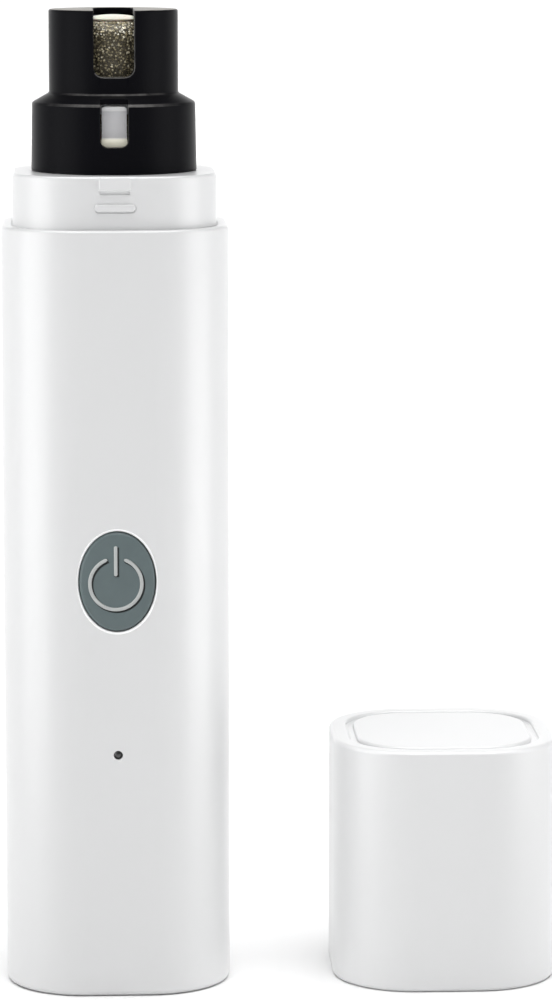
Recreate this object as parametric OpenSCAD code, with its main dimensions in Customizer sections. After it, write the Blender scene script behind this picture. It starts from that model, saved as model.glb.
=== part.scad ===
// Handheld rechargeable pet nail trimmer with its travel cap standing beside it.
// Millimetres, +Z up. The origin is the centre of the handle's base; the front faces -Y.

/* [Handle] */
// Width and depth of the handle's rounded-square section
handle_w = 30; // [28:0.5:32]
// Radius of the section's four corners
corner_r = 10.7; // [9.5:0.1:11.5]
// Height of the outer sleeve
sleeve_h = 101.9; // [98:0.1:106]
// Wall of the sleeve
sleeve_wall = 1.5; // [1.4:0.1:1.6]
// Rounding round the foot of the sleeve and of the cap's mouth
foot_round = 0.8; // [0.5:0.1:1.2]

/* [Collar and guard] */
// Height of the collar's top face
collar_top = 108.8; // [108.6:0.1:109]
// Outer radius of the spigot that carries the guard
spigot_r = 9.4; // [9.2:0.1:9.5]
// Top of the spigot
spigot_top = 117.7; // [117.4:0.1:117.8]
// Radius of the guard's narrow upper tier
tier_r = 8.53; // [8.4:0.01:8.8]
// Radius of the guard's lower tier at its shoulder
skirt_r = 10.8; // [10.6:0.1:11]
// Height of the guard's flat top
guard_top = 130; // [129.9:0.1:131]
// Width of the nail port
port_w = 5.3; // [5.2:0.1:6]
// Width of the latch slot
latch_slot_w = 3.65; // [3.4:0.05:4]

/* [Grinding drum] */
// Radius of the drum over its abrasive
drum_r = 6; // [5.6:0.1:6.2]
// Top face of the drum
drum_top = 128.6; // [128.3:0.05:128.6]
// Rounding of the drum's upper edge
drum_round = 2; // [1:0.1:2]
// Radius of the motor shaft
shaft_r = 1; // [0.75:0.25:1.25]

/* [Button and light] */
// Width of the power button
button_w = 9.95; // [9:0.05:10.5]
// Height of the power button
button_h = 13.1; // [12:0.1:14]
// Height of the button's centre above the base
button_z = 55.9; // [54:0.1:57]
// Height of the status light above the base
light_z = 32.7; // [30:0.1:34]

/* [Cap] */
// Height of the travel cap
cap_h = 32.7; // [32.5:0.1:36]
// Distance from the handle's axis to the cap's axis, as it stands
cap_x = 44; // [38:0.5:60]

/* [Hidden] */
$fn = 64;

eps = 0.01;           // overlap that keeps joined shapes one solid
slip = 0.05;          // gap between pieces that slide into each other
edge = 0.4;           // small rounding on outer edges
past = 20;            // reach of a cutter beyond the handle

// Sleeve, plug and frame
bore_w = handle_w - 2*sleeve_wall;
floor_t = 2.4;
light_hole_r = 0.6;
plug_w = 22.9;
plug_lift = 0.3;
plug_flange_t = 1.6;
plug_screw_hole_r = 1.1;
plug_recess_r = 2;
plug_recess_depth = 1.4;
frame_w = bore_w - 0.4;
frame_wall = 1.2;
frame_z0 = floor_t + plug_flange_t + 0.2;
neck_z0 = 92;
frame_neck_w = 23.7;
frame_top = 104;
frame_split = 0.02;   // half the gap between the two half shells
rib_t = 1.4;
motor_rib_z = [86, 99];
rib_inset = 1;
screw_x = 9.6;
post_r = 2;
post_z = [24, 76];
post_len = 7;
web_t = 1.6;
board_screws_at = [[-5.2, 43.5], [5.2, 22]];
base_screw = [8.4, 2.8];
lug_h = 10;
pilot_r = 0.9;

// Collar
collar_w = bore_w - 2*slip;
collar_wall = 1.5;
collar_plate = 1.6;
spigot_wall = 1.3;
spigot_hole_r = 3.6;
spigot_roof = 1.2;
catch_w = 4.2;
catch_z = 107.05;
catch_proud = 0.5;
mark_w = 5.4;         // small raised bar under the catch
mark_h = 1.05;
mark_z = 104.73;
mark_proud = 0.35;
latch_w = 3.45;
latch_gap = 0.5;
latch_root = 109.3;
latch_in_r = 7;
latch_back_r = 8.25;
latch_face_r = 8.85;
latch_lip_r = 9.38;
latch_corner = 0.8;

// Guard
skirt_low_r = skirt_r + 0.15;
skirt_bore_r = 9.5;
shoulder_z = 118;
shoulder_rise = 1.1;
shoulder_under = 117.9;
tier_bore_r = 7.15;
guard_roof = 0.7;
port_z = 121.4;
port_corner = 1.2;
port_back = 3.75;
latch_slot_z = 112.4;
latch_slot_corner = 1;

// Drum and hub
drum_wall = 0.65;
drum_z0 = 118.6;
drum_eye_r = 2.6;
dome_r = 4;
dome_rim = 0.2;
dome_rise = 0.5;
stem_r = 2.8;
stem_z0 = 109.2;
shaft_top = 121;

// Motor, a flat-sided can standing in the neck of the frame
motor_r = 10.05;
motor_flat = 15.1;
can_wall = 0.8;
can_z0 = 83.4;
can_top = 106;
can_nose_r = 3.05;
can_nose_top = 107.6;
bell_z0 = 80.9;
armature_r = 6.3;
armature_z0 = 90;
armature_h = 11;
tooth_w = 2.2;
shoe_t = 1;
magnet_r0 = 6.8;
magnet_z = [88.5, 103.5];
commutator_r = 2.1;
commutator_z = [84.4, 88.4];
brush_z = 85;
brush_h = 2;
terminal_x = 4.6;
bush_r = 2.25;
bush_h = 2.4;

// Electrics
board_front = -9.2;
board_t = 1;
board_w = 14.6;
board_z0 = 4.6;
board_top = 68;
cell_r = 7.1;
cell_y = 4.2;
cell_z0 = 16.4;
cell_h = 49.5;
socket_w = 7.5;
socket_h = 2.6;
socket_z0 = 2.9;
socket_len = 5.6;
socket_metal = 0.3;
socket_y = board_front + board_t + socket_h/2;
mouth_gap = 0.55;     // plug opening round the socket
tongue_w = 4.6;
tongue_t = 0.6;
switch_w = 6.2;
switch_t = 1.9;
plunger_r = 1.7;
press = 0.5;
wire_r = 0.55;

// Button
button_hole_gap = 0.1;
button_proud = 0.2;
icon_r = 3.7;
icon_line = 0.6;
icon_proud = 0.12;
icon_shift = [-0.2, -0.25];
icon_gap = 2.2;
bar_z0 = 1.05;
bar_h = 3.95;
flange_y = -13.15;
flange_t = 0.8;
flange_out = 1.2;
button_stem_r = 2;
pipe_r = 0.55;

// Cap
cap_wall = 1.45;
cap_roof = 2;
inset_w = 25.4;
inset_gap = 0.95;
inset_depth = 0.6;
channel_w = 6.8;      // groove inside the front wall that clears the catch
channel_depth = 0.6;
channel_top = 7.4;

// ---------- shared shapes ----------

// Rounded square in 2D, w across with corners of radius r
module squircle(w, r) {
    square([w, w - 2*r], center = true);
    square([w - 2*r, w], center = true);
    for (x = [-1, 1], y = [-1, 1]) translate([x, y] * (w/2 - r)) circle(r);
}

// Half outline of a rounded edge: r wide, h high, with the outer corners rounded by b and t
module edge_outline(r, h, b, t) {
    translate([0, b]) square([r, h - b - t]);
    if (b > 0) {
        square([r - b, b + eps]);
        translate([r - b, b]) circle(b);
    }
    if (t > 0) {
        translate([0, h - t - eps]) square([r - t, t + eps]);
        translate([r - t, h - t]) circle(t);
    }
}

// Rounded-square prism standing on Z = 0, with rounded bottom and top edges
module soft_prism(w, r, h, b = 0, t = 0) {
    c = w/2 - r;
    for (x = [-c, c], y = [-c, c])
        translate([x, y, 0]) rotate_extrude() edge_outline(r, h, b, t);
    for (turn = [0, 90]) rotate(turn) rotate([90, 0, 0])
        linear_extrude(2*c, center = true) {
            translate([-c, 0]) square([2*c, h]);
            for (m = [0, 1]) mirror([m, 0]) translate([c, 0]) edge_outline(r, h, b, t);
        }
}

// Radius of the section's corner once it is stepped in from the handle's outside
function inner_r(w) = corner_r - (handle_w - w)/2;

module section(w, z0, z1) {
    translate([0, 0, z0]) linear_extrude(z1 - z0) squircle(w, inner_r(w));
}

module pipe(r_out, r_in, z0, z1) {
    translate([0, 0, z0]) difference() {
        cylinder(r = r_out, h = z1 - z0);
        translate([0, 0, -1]) cylinder(r = r_in, h = z1 - z0 + 2);
    }
}

// Something drawn in XY and extruded along Z, turned to run from y0 to y1 with its top towards +Z
module along_y(y0, y1) {
    translate([0, y1, 0]) rotate([90, 0, 0]) linear_extrude(y1 - y0) children();
}

module oval(w, h) {
    scale([w/2, h/2]) circle(1);
}

module stadium(w, h) {
    square([w - h, h], center = true);
    for (x = [-1, 1]) translate([x*(w - h)/2, 0]) circle(h/2);
}

function arc(cx, cy, r, a0, a1, n = 6) =
    [for (i = [0:n]) [cx + r*cos(a0 + (a1 - a0)*i/n), cy + r*sin(a0 + (a1 - a0)*i/n)]];

// Pan-head screw along +Z with its head's top at Z = 0 and a cross recess
module screw(head_r, head_t, shank_r, length) {
    difference() {
        translate([0, 0, -head_t]) cylinder(r = head_r, h = head_t);
        for (turn = [0, 90]) rotate(turn)
            translate([0, 0, -head_t*0.25]) cube([head_r*1.2, head_r*0.28, head_t*0.6], center = true);
    }
    translate([0, 0, -length]) cylinder(r = shank_r, h = length - head_t + eps);
    translate([0, 0, -length - shank_r]) cylinder(r1 = shank_r*0.2, r2 = shank_r, h = shank_r);
}

// Tube of radius r swept along a list of points, closed at both ends
function unit(v) = v / norm(v);
function heading(p, i) = unit(p[min(i + 1, len(p) - 1)] - p[max(i - 1, 0)]);
function side(t) = unit(cross(t, abs(t.y) < 0.9 ? [0, 1, 0] : [1, 0, 0]));
module sweep(p, r, sides = 8) {
    n = len(p);
    points = [
        for (i = [0:n - 1]) let (t = heading(p, i), u = side(t), v = cross(t, u))
            for (k = [0:sides - 1]) p[i] + r*(cos(360*k/sides)*u + sin(360*k/sides)*v)
    ];
    walls = [
        for (i = [0:n - 2], k = [0:sides - 1]) let (a = i*sides + k, b = i*sides + (k + 1) % sides)
            [a, a + sides, b + sides, b]
    ];
    polyhedron(points, concat(
        walls,
        [[for (k = [0:sides - 1]) k]],
        [[for (k = [sides - 1:-1:0]) (n - 1)*sides + k]]
    ));
}

// Smooth curve through four control points
function bezier(a, b, c, d, n = 9) = [
    for (i = [0:n]) let (t = i/n, s = 1 - t)
        s*s*s*a + 3*s*s*t*b + 3*s*t*t*c + t*t*t*d
];

// ---------- handle ----------

module outer_sleeve() {
    color("white") difference() {
        soft_prism(handle_w, corner_r, sleeve_h, foot_round, edge);
        section(bore_w, floor_t, sleeve_h + 1);
        section(plug_w + 2*slip, -1, floor_t + 1);
        translate([0, 0, button_z]) along_y(-past, 0)
            oval(button_w + 2*button_hole_gap, button_h + 2*button_hole_gap);
        translate([0, 0, light_z]) along_y(-past, 0) circle(light_hole_r);
    }
}

module socket_mouth() {
    translate([0, socket_y])
        square([socket_w + 2*mouth_gap, socket_h + 2*mouth_gap], center = true);
}

module base_plug() {
    color("gainsboro") difference() {
        union() {
            section(plug_w, plug_lift, floor_t + slip + eps);
            section(frame_w, floor_t + slip, floor_t + slip + plug_flange_t);
        }
        linear_extrude(past, center = true) socket_mouth();
        for (m = [-1, 1]) translate([m*base_screw.x, base_screw.y, 0]) {
            cylinder(r = plug_screw_hole_r, h = past, center = true);
            translate([0, 0, plug_lift - 1]) cylinder(r = plug_recess_r, h = 1 + plug_recess_depth);
        }
    }
}

module base_screws() {
    color("silver") for (m = [-1, 1])
        translate([m*base_screw.x, base_screw.y, plug_lift + 0.2]) rotate([180, 0, 0])
            screw(1.8, 1.2, 0.9, 10);
}

// A wedge on the collar's front that the cap snaps over: steep below, a long ramp above
module cap_catch() {
    outline = [[-1, -0.65], [0, -0.65], [catch_proud, 0], [0, 1.55], [-1, 1.55]];
    translate([-catch_w/2, -collar_w/2, catch_z]) rotate([0, 90, 0]) rotate(180)
        linear_extrude(catch_w) polygon([for (p = outline) [p.y, p.x]]);
}

module neck_collar() {
    color("white") difference() {
        union() {
            translate([0, 0, neck_z0])
                soft_prism(collar_w, inner_r(collar_w), collar_top - neck_z0, 0, edge);
            translate([0, 0, collar_top - 1])
                rotate_extrude() edge_outline(spigot_r, spigot_top - collar_top + 1, 0, 0.3);
            cap_catch();
            translate([0, 0, mark_z]) along_y(-collar_w/2 - mark_proud, -collar_w/2 + 1)
                stadium(mark_w, mark_h);
        }
        section(collar_w - 2*collar_wall, neck_z0 - 1, collar_top - collar_plate);
        translate([0, 0, neck_z0]) cylinder(r = spigot_r - spigot_wall,
            h = spigot_top - spigot_roof - neck_z0);
        cylinder(r = spigot_hole_r, h = 2*spigot_top);
        translate([-latch_w/2 - latch_gap, -spigot_r - 1, latch_root])
            cube([latch_w + 2*latch_gap, spigot_r + 1 - latch_in_r, 20]);
    }
}

// Two half shells split on Y = 0, screwed together, that hold everything inside the sleeve
module frame_walls() {
    difference() {
        union() {
            section(frame_w, frame_z0, neck_z0 - 0.2);
            section(frame_neck_w, neck_z0 - 1, frame_top);
        }
        section(frame_w - 2*frame_wall, frame_z0 - 1, neck_z0 - 1.6);
        section(frame_neck_w - 2*frame_wall, neck_z0 - 3, frame_top + 1);
    }
}

module motor_outline(grow) {
    intersection() {
        circle(motor_r + grow);
        square([50, motor_flat + 2*grow], center = true);
    }
}

module frame_ribs() {
    // Ribs that clamp the motor through its rubber rings
    for (z = motor_rib_z) let (w = (z < neck_z0 ? frame_w : frame_neck_w) - rib_inset)
        translate([0, 0, z]) linear_extrude(rib_t) difference() {
            squircle(w, inner_r(w));
            motor_outline(0.5);
        }
    // Ribs at the two ends of the cell, open at the front for the board and its wires
    for (z = [cell_z0 - 0.4 - rib_t, cell_z0 + cell_h + 0.4]) translate([0, 0, z])
        linear_extrude(rib_t) difference() {
            squircle(frame_w - rib_inset, inner_r(frame_w - rib_inset));
            translate([0, -10]) square([18, 12], center = true);
            translate([-2, -5]) square([4, 8]);
            translate([0, cell_y]) circle(4.2);
        }
}

// Screw posts, each on a web from the side wall, and the lugs that take the base screws
module frame_posts() {
    for (m = [0, 1], z = post_z) mirror([m, 0, 0]) {
        translate([screw_x, 0, z]) along_y(-post_len, post_len) circle(post_r);
        translate([screw_x, -post_len, z - web_t/2])
            cube([frame_w/2 - 0.3 - screw_x, 2*post_len, web_t]);
    }
}

module base_lugs() {
    for (m = [0, 1]) mirror([m, 0, 0]) {
        translate([base_screw.x, base_screw.y, frame_z0]) cylinder(r = post_r, h = lug_h);
        translate([base_screw.x, base_screw.y - web_t/2, frame_z0])
            cube([frame_w/2 - 0.3 - base_screw.x, web_t, lug_h]);
    }
}

module frame_body() {
    frame_walls();
    frame_ribs();
    frame_posts();
}

module half_space(front) {
    reach = 50;
    translate([-reach/2, front ? -reach : frame_split, -1])
        cube([reach, reach - frame_split, 200]);
}

module frame_front() {
    color("whitesmoke") difference() {
        union() {
            intersection() {
                frame_body();
                half_space(true);
            }
            for (p = board_screws_at)
                translate([p.x, 0, p.y]) along_y(-12.6, board_front) circle(1.5);
        }
        translate([0, 0, button_z]) along_y(-past, -10) square([13.4, 16.6], center = true);
        translate([0, 0, light_z]) along_y(-past, -10) circle(1.1);
        for (x = [-screw_x, screw_x], z = post_z)
            translate([x, 0, z]) along_y(-post_len, 1) circle(pilot_r);
        for (p = board_screws_at)
            translate([p.x, 0, p.y]) along_y(-12.4, 0) circle(0.65);
    }
}

module frame_rear() {
    color("whitesmoke") difference() {
        union() {
            intersection() {
                frame_body();
                half_space(false);
            }
            base_lugs();
        }
        for (x = [-screw_x, screw_x], z = post_z) translate([x, 0, z]) {
            along_y(-1, past) circle(1.15);
            along_y(5.4, past) circle(2.1);
        }
        for (m = [-1, 1]) translate([m*base_screw.x, base_screw.y, 0]) cylinder(r = pilot_r, h = 13);
    }
}

module frame_screws() {
    color("silver") for (x = [-screw_x, screw_x], z = post_z)
        translate([x, 6.6, z]) rotate([-90, 0, 0]) screw(1.9, 1.2, 0.9, 11);
}

// ---------- electrics ----------

module circuit_board() {
    color("seagreen") difference() {
        translate([-board_w/2, board_front, board_z0])
            cube([board_w, board_t, board_top - board_z0]);
        for (p = board_screws_at)
            translate([p.x, 0, p.y]) along_y(-15, 0) circle(0.9);
    }
}

// Chips and passives on the back of the board: [x, z, width, height, thickness]
module board_parts() {
    parts = [
        [-2.2, 30, 5, 4, 1.5], [3.4, 34, 4, 4, 1.8], [-3.4, 37.5, 3, 1.6, 0.9],
        [1.8, 26.6, 2, 1.25, 0.8], [-4.6, 25.4, 2, 1.25, 0.8], [3.2, 40.4, 2.9, 1.6, 1.1],
        [-0.6, 46, 3.2, 2.6, 1.2], [3.8, 50, 1.6, 0.8, 0.6], [-3.6, 52, 1.6, 0.8, 0.6]
    ];
    color("dimgray") for (p = parts)
        translate([p[0] - p[2]/2, board_front + board_t, p[1] - p[3]/2])
            cube([p[2], p[4], p[3]]);
}

module board_screws() {
    color("silver") for (p = board_screws_at)
        translate([p.x, board_front + board_t + 0.7, p.y]) rotate([-90, 0, 0])
            screw(1.3, 0.7, 0.64, 4);
}

module charge_socket() {
    color("silver") translate([0, socket_y, socket_z0]) difference() {
        linear_extrude(socket_len) square([socket_w, socket_h], center = true);
        translate([0, 0, -1]) linear_extrude(socket_len + 0.2)
            square([socket_w - 2*socket_metal, socket_h - 2*socket_metal], center = true);
    }
}

module socket_tongue() {
    color("dimgray") translate([0, socket_y, socket_z0 + 0.6]) linear_extrude(socket_len - 1.4)
        square([tongue_w, tongue_t], center = true);
}

module switch_body() {
    color("dimgray") difference() {
        translate([-switch_w/2, board_front - switch_t, button_z - switch_w/2])
            cube([switch_w, switch_t, switch_w]);
        translate([0, 0, button_z])
            along_y(board_front - switch_t - 1, board_front - 0.15) circle(plunger_r + slip);
    }
}

module switch_plunger() {
    color("black") translate([0, 0, button_z])
        along_y(board_front - switch_t - 0.8, board_front - 0.15 - press - 0.1) circle(plunger_r);
}

module status_led() {
    color("ivory") translate([-0.8, board_front - 0.6, light_z - 0.5]) cube([1.6, 0.6, 1]);
}

module light_pipe() {
    color("black") translate([0, 0, light_z]) {
        along_y(-handle_w/2 + 0.25, board_front - 0.7) circle(pipe_r);
        along_y(-13.2, -12.6) circle(1);
    }
}

module battery_cell() {
    color("royalblue") translate([0, cell_y, cell_z0]) {
        cylinder(r = cell_r, h = cell_h - 1);
        cylinder(r = 2.75, h = cell_h);
    }
}

module battery_tabs() {
    color("silver") {
        translate([-2, cell_y - 4.2, cell_z0 + cell_h]) cube([4, 6.4, 0.15]);
        translate([-2, cell_y - 7.4, cell_z0 - 0.15]) cube([4, 9.6, 0.15]);
    }
}

// Runs from the board to a motor terminal on the side m
module motor_lead(m) {
    sweep(bezier([3.2*m, -7.5, 62], [3.2*m, -5.6, 68], [5.4*m, -6, 73], [4.6*m, -4.4, 78.6]), wire_r);
}

module wire_motor_red() {
    color("red") motor_lead(1);
}

module wire_motor_black() {
    color("black") motor_lead(-1);
}

module wire_battery_red() {
    color("red") sweep(bezier([1, 0.9, 66.7], [1, -4, 70.4], [1, -6.4, 66], [1, -7.5, 58.4]), wire_r);
}

module wire_battery_black() {
    color("black")
        sweep(bezier([-1, -2.4, 15.5], [-1, -5.6, 14.6], [-1, -7.2, 17], [-1, -7.5, 22]), wire_r);
}

// ---------- motor ----------

module motor_can() {
    color("silver") difference() {
        union() {
            translate([0, 0, can_z0]) linear_extrude(can_top - can_z0) motor_outline(0);
            translate([0, 0, can_z0]) cylinder(r = can_nose_r, h = can_nose_top - can_z0);
        }
        translate([0, 0, can_z0 - 1]) linear_extrude(can_top - can_wall - can_z0 + 1)
            motor_outline(-can_wall);
        cylinder(r = bush_r + slip, h = 2*can_top);
    }
}

module motor_end_bell() {
    color("white") difference() {
        union() {
            translate([0, 0, bell_z0]) linear_extrude(can_z0 - bell_z0) motor_outline(-0.1);
            translate([0, 0, bell_z0]) linear_extrude(can_z0 + 1 - bell_z0)
                motor_outline(-can_wall - slip);
        }
        translate([0, 0, bell_z0 + bush_h]) cylinder(r = 5.6, h = 10);
        translate([0, 0, bell_z0 - 1]) cylinder(r = bush_r + slip, h = 10);
        for (m = [-1, 1]) translate([m*terminal_x - 1.3, -4, 0]) cube([2.6, 0.8, 200]);
    }
}

module motor_magnets() {
    color("dimgray") for (m = [0, 180]) rotate(m) intersection() {
        pipe(motor_r - can_wall - slip, magnet_r0, magnet_z[0], magnet_z[1]);
        translate([0, -6.2, 80]) cube([20, 12.4, 40]);
        translate([4.2, -20, 80]) cube([20, 40, 40]);
    }
}

module motor_brushes() {
    color("peru") for (m = [-1, 1]) {
        translate([m*(commutator_r + slip + 0.6) - 0.6, -0.7, brush_z]) cube([1.2, 1.4, brush_h]);
        translate([m*(commutator_r + slip + 1.4) - 0.2, -3.3, brush_z]) cube([0.4, 4, brush_h]);
    }
}

module motor_terminals() {
    color("silver") for (m = [-1, 1])
        translate([m*terminal_x - 1.2, -3.75, bell_z0 - 3]) cube([2.4, 0.3, 7.4]);
}

module motor_bushes() {
    color("goldenrod") {
        pipe(bush_r, shaft_r + 0.03, can_top - can_wall - 1, can_nose_top);
        pipe(bush_r, shaft_r + 0.03, bell_z0, bell_z0 + bush_h);
    }
}

module motor_damper() {
    color("black") for (z = motor_rib_z) translate([0, 0, z - 0.5]) linear_extrude(rib_t + 1)
        difference() {
            motor_outline(0.45);
            motor_outline(0.02);
        }
}

// Felt washer bonded under the spigot's roof
module dust_seal() {
    color("tan") pipe(6.4, stem_r + 0.1, spigot_top - 2.5, spigot_top - 1.25);
}

// ---------- spindle ----------

module motor_shaft() {
    color("silver") translate([0, 0, bell_z0 - 0.6]) cylinder(r = shaft_r, h = shaft_top - bell_z0 + 0.6);
}

module motor_armature() {
    color("gray") translate([0, 0, armature_z0]) linear_extrude(armature_h) difference() {
        union() {
            circle(2.3);
            for (k = [0:2]) rotate(120*k) {
                translate([0, -tooth_w/2]) square([armature_r - 0.6, tooth_w]);
                intersection() {
                    difference() {
                        circle(armature_r);
                        circle(armature_r - shoe_t);
                    }
                    polygon([[0, 0], [9, -11], [12, 0], [9, 11]]);
                }
            }
        }
        circle(shaft_r + eps);
    }
}

module motor_windings() {
    color("chocolate") for (k = [0:2]) rotate(120*k) translate([0, 0, armature_z0 - 1.2])
        difference() {
            translate([2.75, -1.9, 0]) cube([2.2, 3.8, armature_h + 2.4]);
            translate([2, -tooth_w/2 - slip, 1.15]) cube([4, tooth_w + 2*slip, armature_h + 0.1]);
        }
}

module motor_commutator() {
    color("orange") difference() {
        pipe(commutator_r, shaft_r + eps, commutator_z[0], commutator_z[1]);
        for (k = [0:2]) rotate(120*k + 60) translate([1.35, -0.15, 83]) cube([2, 0.3, 10]);
    }
}

module drum_hub() {
    color("ivory") difference() {
        union() {
            translate([0, 0, stem_z0]) cylinder(r = stem_r, h = drum_z0 - stem_z0);
            translate([0, 0, drum_z0 - 0.2])
                cylinder(r = drum_r - drum_wall - slip, h = drum_top - drum_wall - slip - drum_z0 + 0.2);
        }
        cylinder(r = shaft_r + eps, h = shaft_top + eps);
    }
}

// Domed cap that is pressed into the drum's eye and holds it on the hub
module drum_cap() {
    sphere_r = (dome_r*dome_r + dome_rise*dome_rise)/(2*dome_rise);
    color("ivory") {
        translate([0, 0, drum_top - drum_wall - slip]) cylinder(r = drum_eye_r, h = 1);
        translate([0, 0, drum_top]) rotate_extrude() intersection() {
            square([dome_r, dome_rim + dome_rise]);
            translate([0, dome_rim + dome_rise - sphere_r]) circle(sphere_r, $fn = 360);
        }
    }
}

module grinding_drum() {
    color("darkkhaki") difference() {
        rotate_extrude() translate([0, drum_z0])
            edge_outline(drum_r, drum_top - drum_z0, 0, drum_round);
        translate([0, 0, drum_z0 - 1])
            cylinder(r = drum_r - drum_wall, h = drum_top - drum_wall - drum_z0 + 1);
        cylinder(r = drum_eye_r + eps, h = 200);
    }
}

// ---------- guard ----------

guard_outline = concat(
    [[skirt_low_r, collar_top + slip]],
    arc(skirt_r - 0.5, shoulder_z - 0.5, 0.5, 0, 60),
    arc(tier_r + 0.4, shoulder_z + shoulder_rise + 0.2, 0.4, 250, 180),
    arc(tier_r - edge, guard_top - edge, edge, 0, 90),
    [[0, guard_top], [0, guard_top - guard_roof], [tier_bore_r, guard_top - guard_roof],
     [tier_bore_r, shoulder_under], [skirt_bore_r, shoulder_under],
     [skirt_bore_r, collar_top + slip]]
);

// Nail port: a window down the front that runs back over the top as a round-ended slot
module nail_port() {
    translate([0, 0, port_z + port_corner]) along_y(-past, -3) {
        translate([-port_w/2, 0]) square([port_w, past]);
        translate([-port_w/2 + port_corner, -port_corner])
            square([port_w - 2*port_corner, port_corner + eps]);
        for (m = [-1, 1]) translate([m*(port_w/2 - port_corner), 0]) circle(port_corner);
    }
    translate([0, 0, guard_top - guard_roof - 0.2]) linear_extrude(5) {
        translate([0, port_back]) circle(port_w/2);
        translate([-port_w/2, -10]) square([port_w, 10 + port_back]);
    }
}

// Slot in the lower tier that shows the latch, open through the shoulder above it
module latch_slot() {
    corner = latch_slot_corner;
    translate([0, 0, latch_slot_z + corner]) along_y(-past, -skirt_bore_r + 0.25) {
        translate([-latch_slot_w/2, 0]) square([latch_slot_w, 10]);
        translate([-latch_slot_w/2 + corner, -corner])
            square([latch_slot_w - 2*corner, corner + eps]);
        for (m = [-1, 1]) translate([m*(latch_slot_w/2 - corner), 0]) circle(corner);
    }
}

module head_guard() {
    color("black") difference() {
        rotate_extrude() polygon(guard_outline);
        nail_port();
        intersection() {
            latch_slot();
            cylinder(r = past, h = shoulder_z + shoulder_rise - 0.2);
            translate([-past/2, -past, 0]) cube([past, past - tier_r - 0.8, 200]);
        }
        translate([-latch_slot_w/2, -skirt_bore_r - eps, latch_slot_z + latch_slot_corner])
            cube([latch_slot_w, 1, shoulder_under - latch_slot_z - latch_slot_corner]);
    }
}

// Spring tongue in the spigot's front; its foot flexes, so it turns about latch_root
latch_outline = concat(
    [[latch_back_r, latch_root + 0.1], [latch_face_r - 0.1, latch_root + 0.1],
     [latch_lip_r, latch_root + 0.9], [latch_lip_r, latch_root + 3.7],
     [latch_face_r, latch_root + 4.2]],
    arc(latch_face_r - edge, spigot_top - slip - edge, edge, 0, 90),
    [[latch_back_r, spigot_top - slip]]
);

module guard_latch() {
    color("white") intersection() {
        rotate_extrude() polygon(latch_outline);
        along_y(-past, 0) {
            translate([-latch_w/2, 100]) square([latch_w, spigot_top - latch_corner - 100]);
            translate([-latch_w/2 + latch_corner, spigot_top - 1])
                square([latch_w - 2*latch_corner, 1]);
            for (m = [-1, 1]) translate([m*(latch_w/2 - latch_corner), spigot_top - latch_corner])
                circle(latch_corner);
        }
    }
}

// ---------- button ----------

module power_button() {
    color("slategray") translate([0, 0, button_z]) {
        along_y(-handle_w/2 - button_proud, flange_y + eps) oval(button_w, button_h);
        along_y(flange_y, flange_y + flange_t)
            oval(button_w + 2*flange_out, button_h + 2*flange_out);
        along_y(flange_y, board_front - switch_t - 0.82) circle(button_stem_r);
    }
}

// Standby mark: an open ring with a bar, raised a little from the button
module button_icon() {
    face_y = -handle_w/2 - button_proud;
    color("silver") translate([icon_shift.x, 0, button_z + icon_shift.y])
        along_y(face_y - icon_proud, face_y) {
            difference() {
                circle(icon_r);
                circle(icon_r - icon_line);
                translate([0, icon_r]) square([icon_gap, 4], center = true);
            }
            translate([-icon_line/2, bar_z0]) square([icon_line, bar_h]);
        }
}

// ---------- cap ----------

module cap_shell() {
    color("white") translate([cap_x, 0, 0]) difference() {
        soft_prism(handle_w, corner_r, cap_h, foot_round/2, 0.6);
        section(handle_w - 2*cap_wall, -1, cap_h - cap_roof);
        section(inset_w, cap_h - inset_depth, cap_h + 1);
        translate([-channel_w/2, -handle_w/2 + cap_wall - channel_depth, -1])
            cube([channel_w, 3, channel_top + 1]);
    }
}

module cap_top_plate() {
    color("white") translate([cap_x, 0, cap_h - inset_depth])
        soft_prism(inset_w - 2*inset_gap, inner_r(inset_w - 2*inset_gap), inset_depth, 0, 0.2);
}

// ---------- output ----------

outer_sleeve();
base_plug();
base_screws();
neck_collar();
frame_front();
frame_rear();
frame_screws();
circuit_board();
board_parts();
board_screws();
charge_socket();
socket_tongue();
switch_body();
switch_plunger();
status_led();
light_pipe();
battery_cell();
battery_tabs();
wire_motor_red();
wire_motor_black();
wire_battery_red();
wire_battery_black();
motor_can();
motor_end_bell();
motor_magnets();
motor_brushes();
motor_terminals();
motor_bushes();
motor_damper();
dust_seal();
motor_shaft();
motor_armature();
motor_windings();
motor_commutator();
drum_hub();
drum_cap();
grinding_drum();
head_guard();
guard_latch();
power_button();
button_icon();
cap_shell();
cap_top_plate();
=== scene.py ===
import math
import random

import bmesh
import bpy
from mathutils import Euler, Matrix, Vector


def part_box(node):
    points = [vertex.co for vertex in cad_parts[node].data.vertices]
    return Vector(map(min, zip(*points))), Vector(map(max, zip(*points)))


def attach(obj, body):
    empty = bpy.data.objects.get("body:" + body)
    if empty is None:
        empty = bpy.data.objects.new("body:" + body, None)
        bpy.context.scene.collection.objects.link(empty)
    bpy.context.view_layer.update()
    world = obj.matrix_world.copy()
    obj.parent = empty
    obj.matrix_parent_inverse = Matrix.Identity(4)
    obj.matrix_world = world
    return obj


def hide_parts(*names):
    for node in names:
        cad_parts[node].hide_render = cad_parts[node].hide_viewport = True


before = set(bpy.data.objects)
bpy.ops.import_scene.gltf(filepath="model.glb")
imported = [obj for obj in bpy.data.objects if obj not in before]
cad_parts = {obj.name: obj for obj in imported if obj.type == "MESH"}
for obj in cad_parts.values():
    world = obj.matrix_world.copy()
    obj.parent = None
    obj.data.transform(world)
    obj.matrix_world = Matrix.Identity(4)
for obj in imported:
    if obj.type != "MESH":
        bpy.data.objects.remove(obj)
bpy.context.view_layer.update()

# The looks of a handheld pet nail grinder and its travel cap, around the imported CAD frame.
# Everything is in metres in the frame's own axes: +Z up, the front faces -Y, the cap stands at +X.

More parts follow.
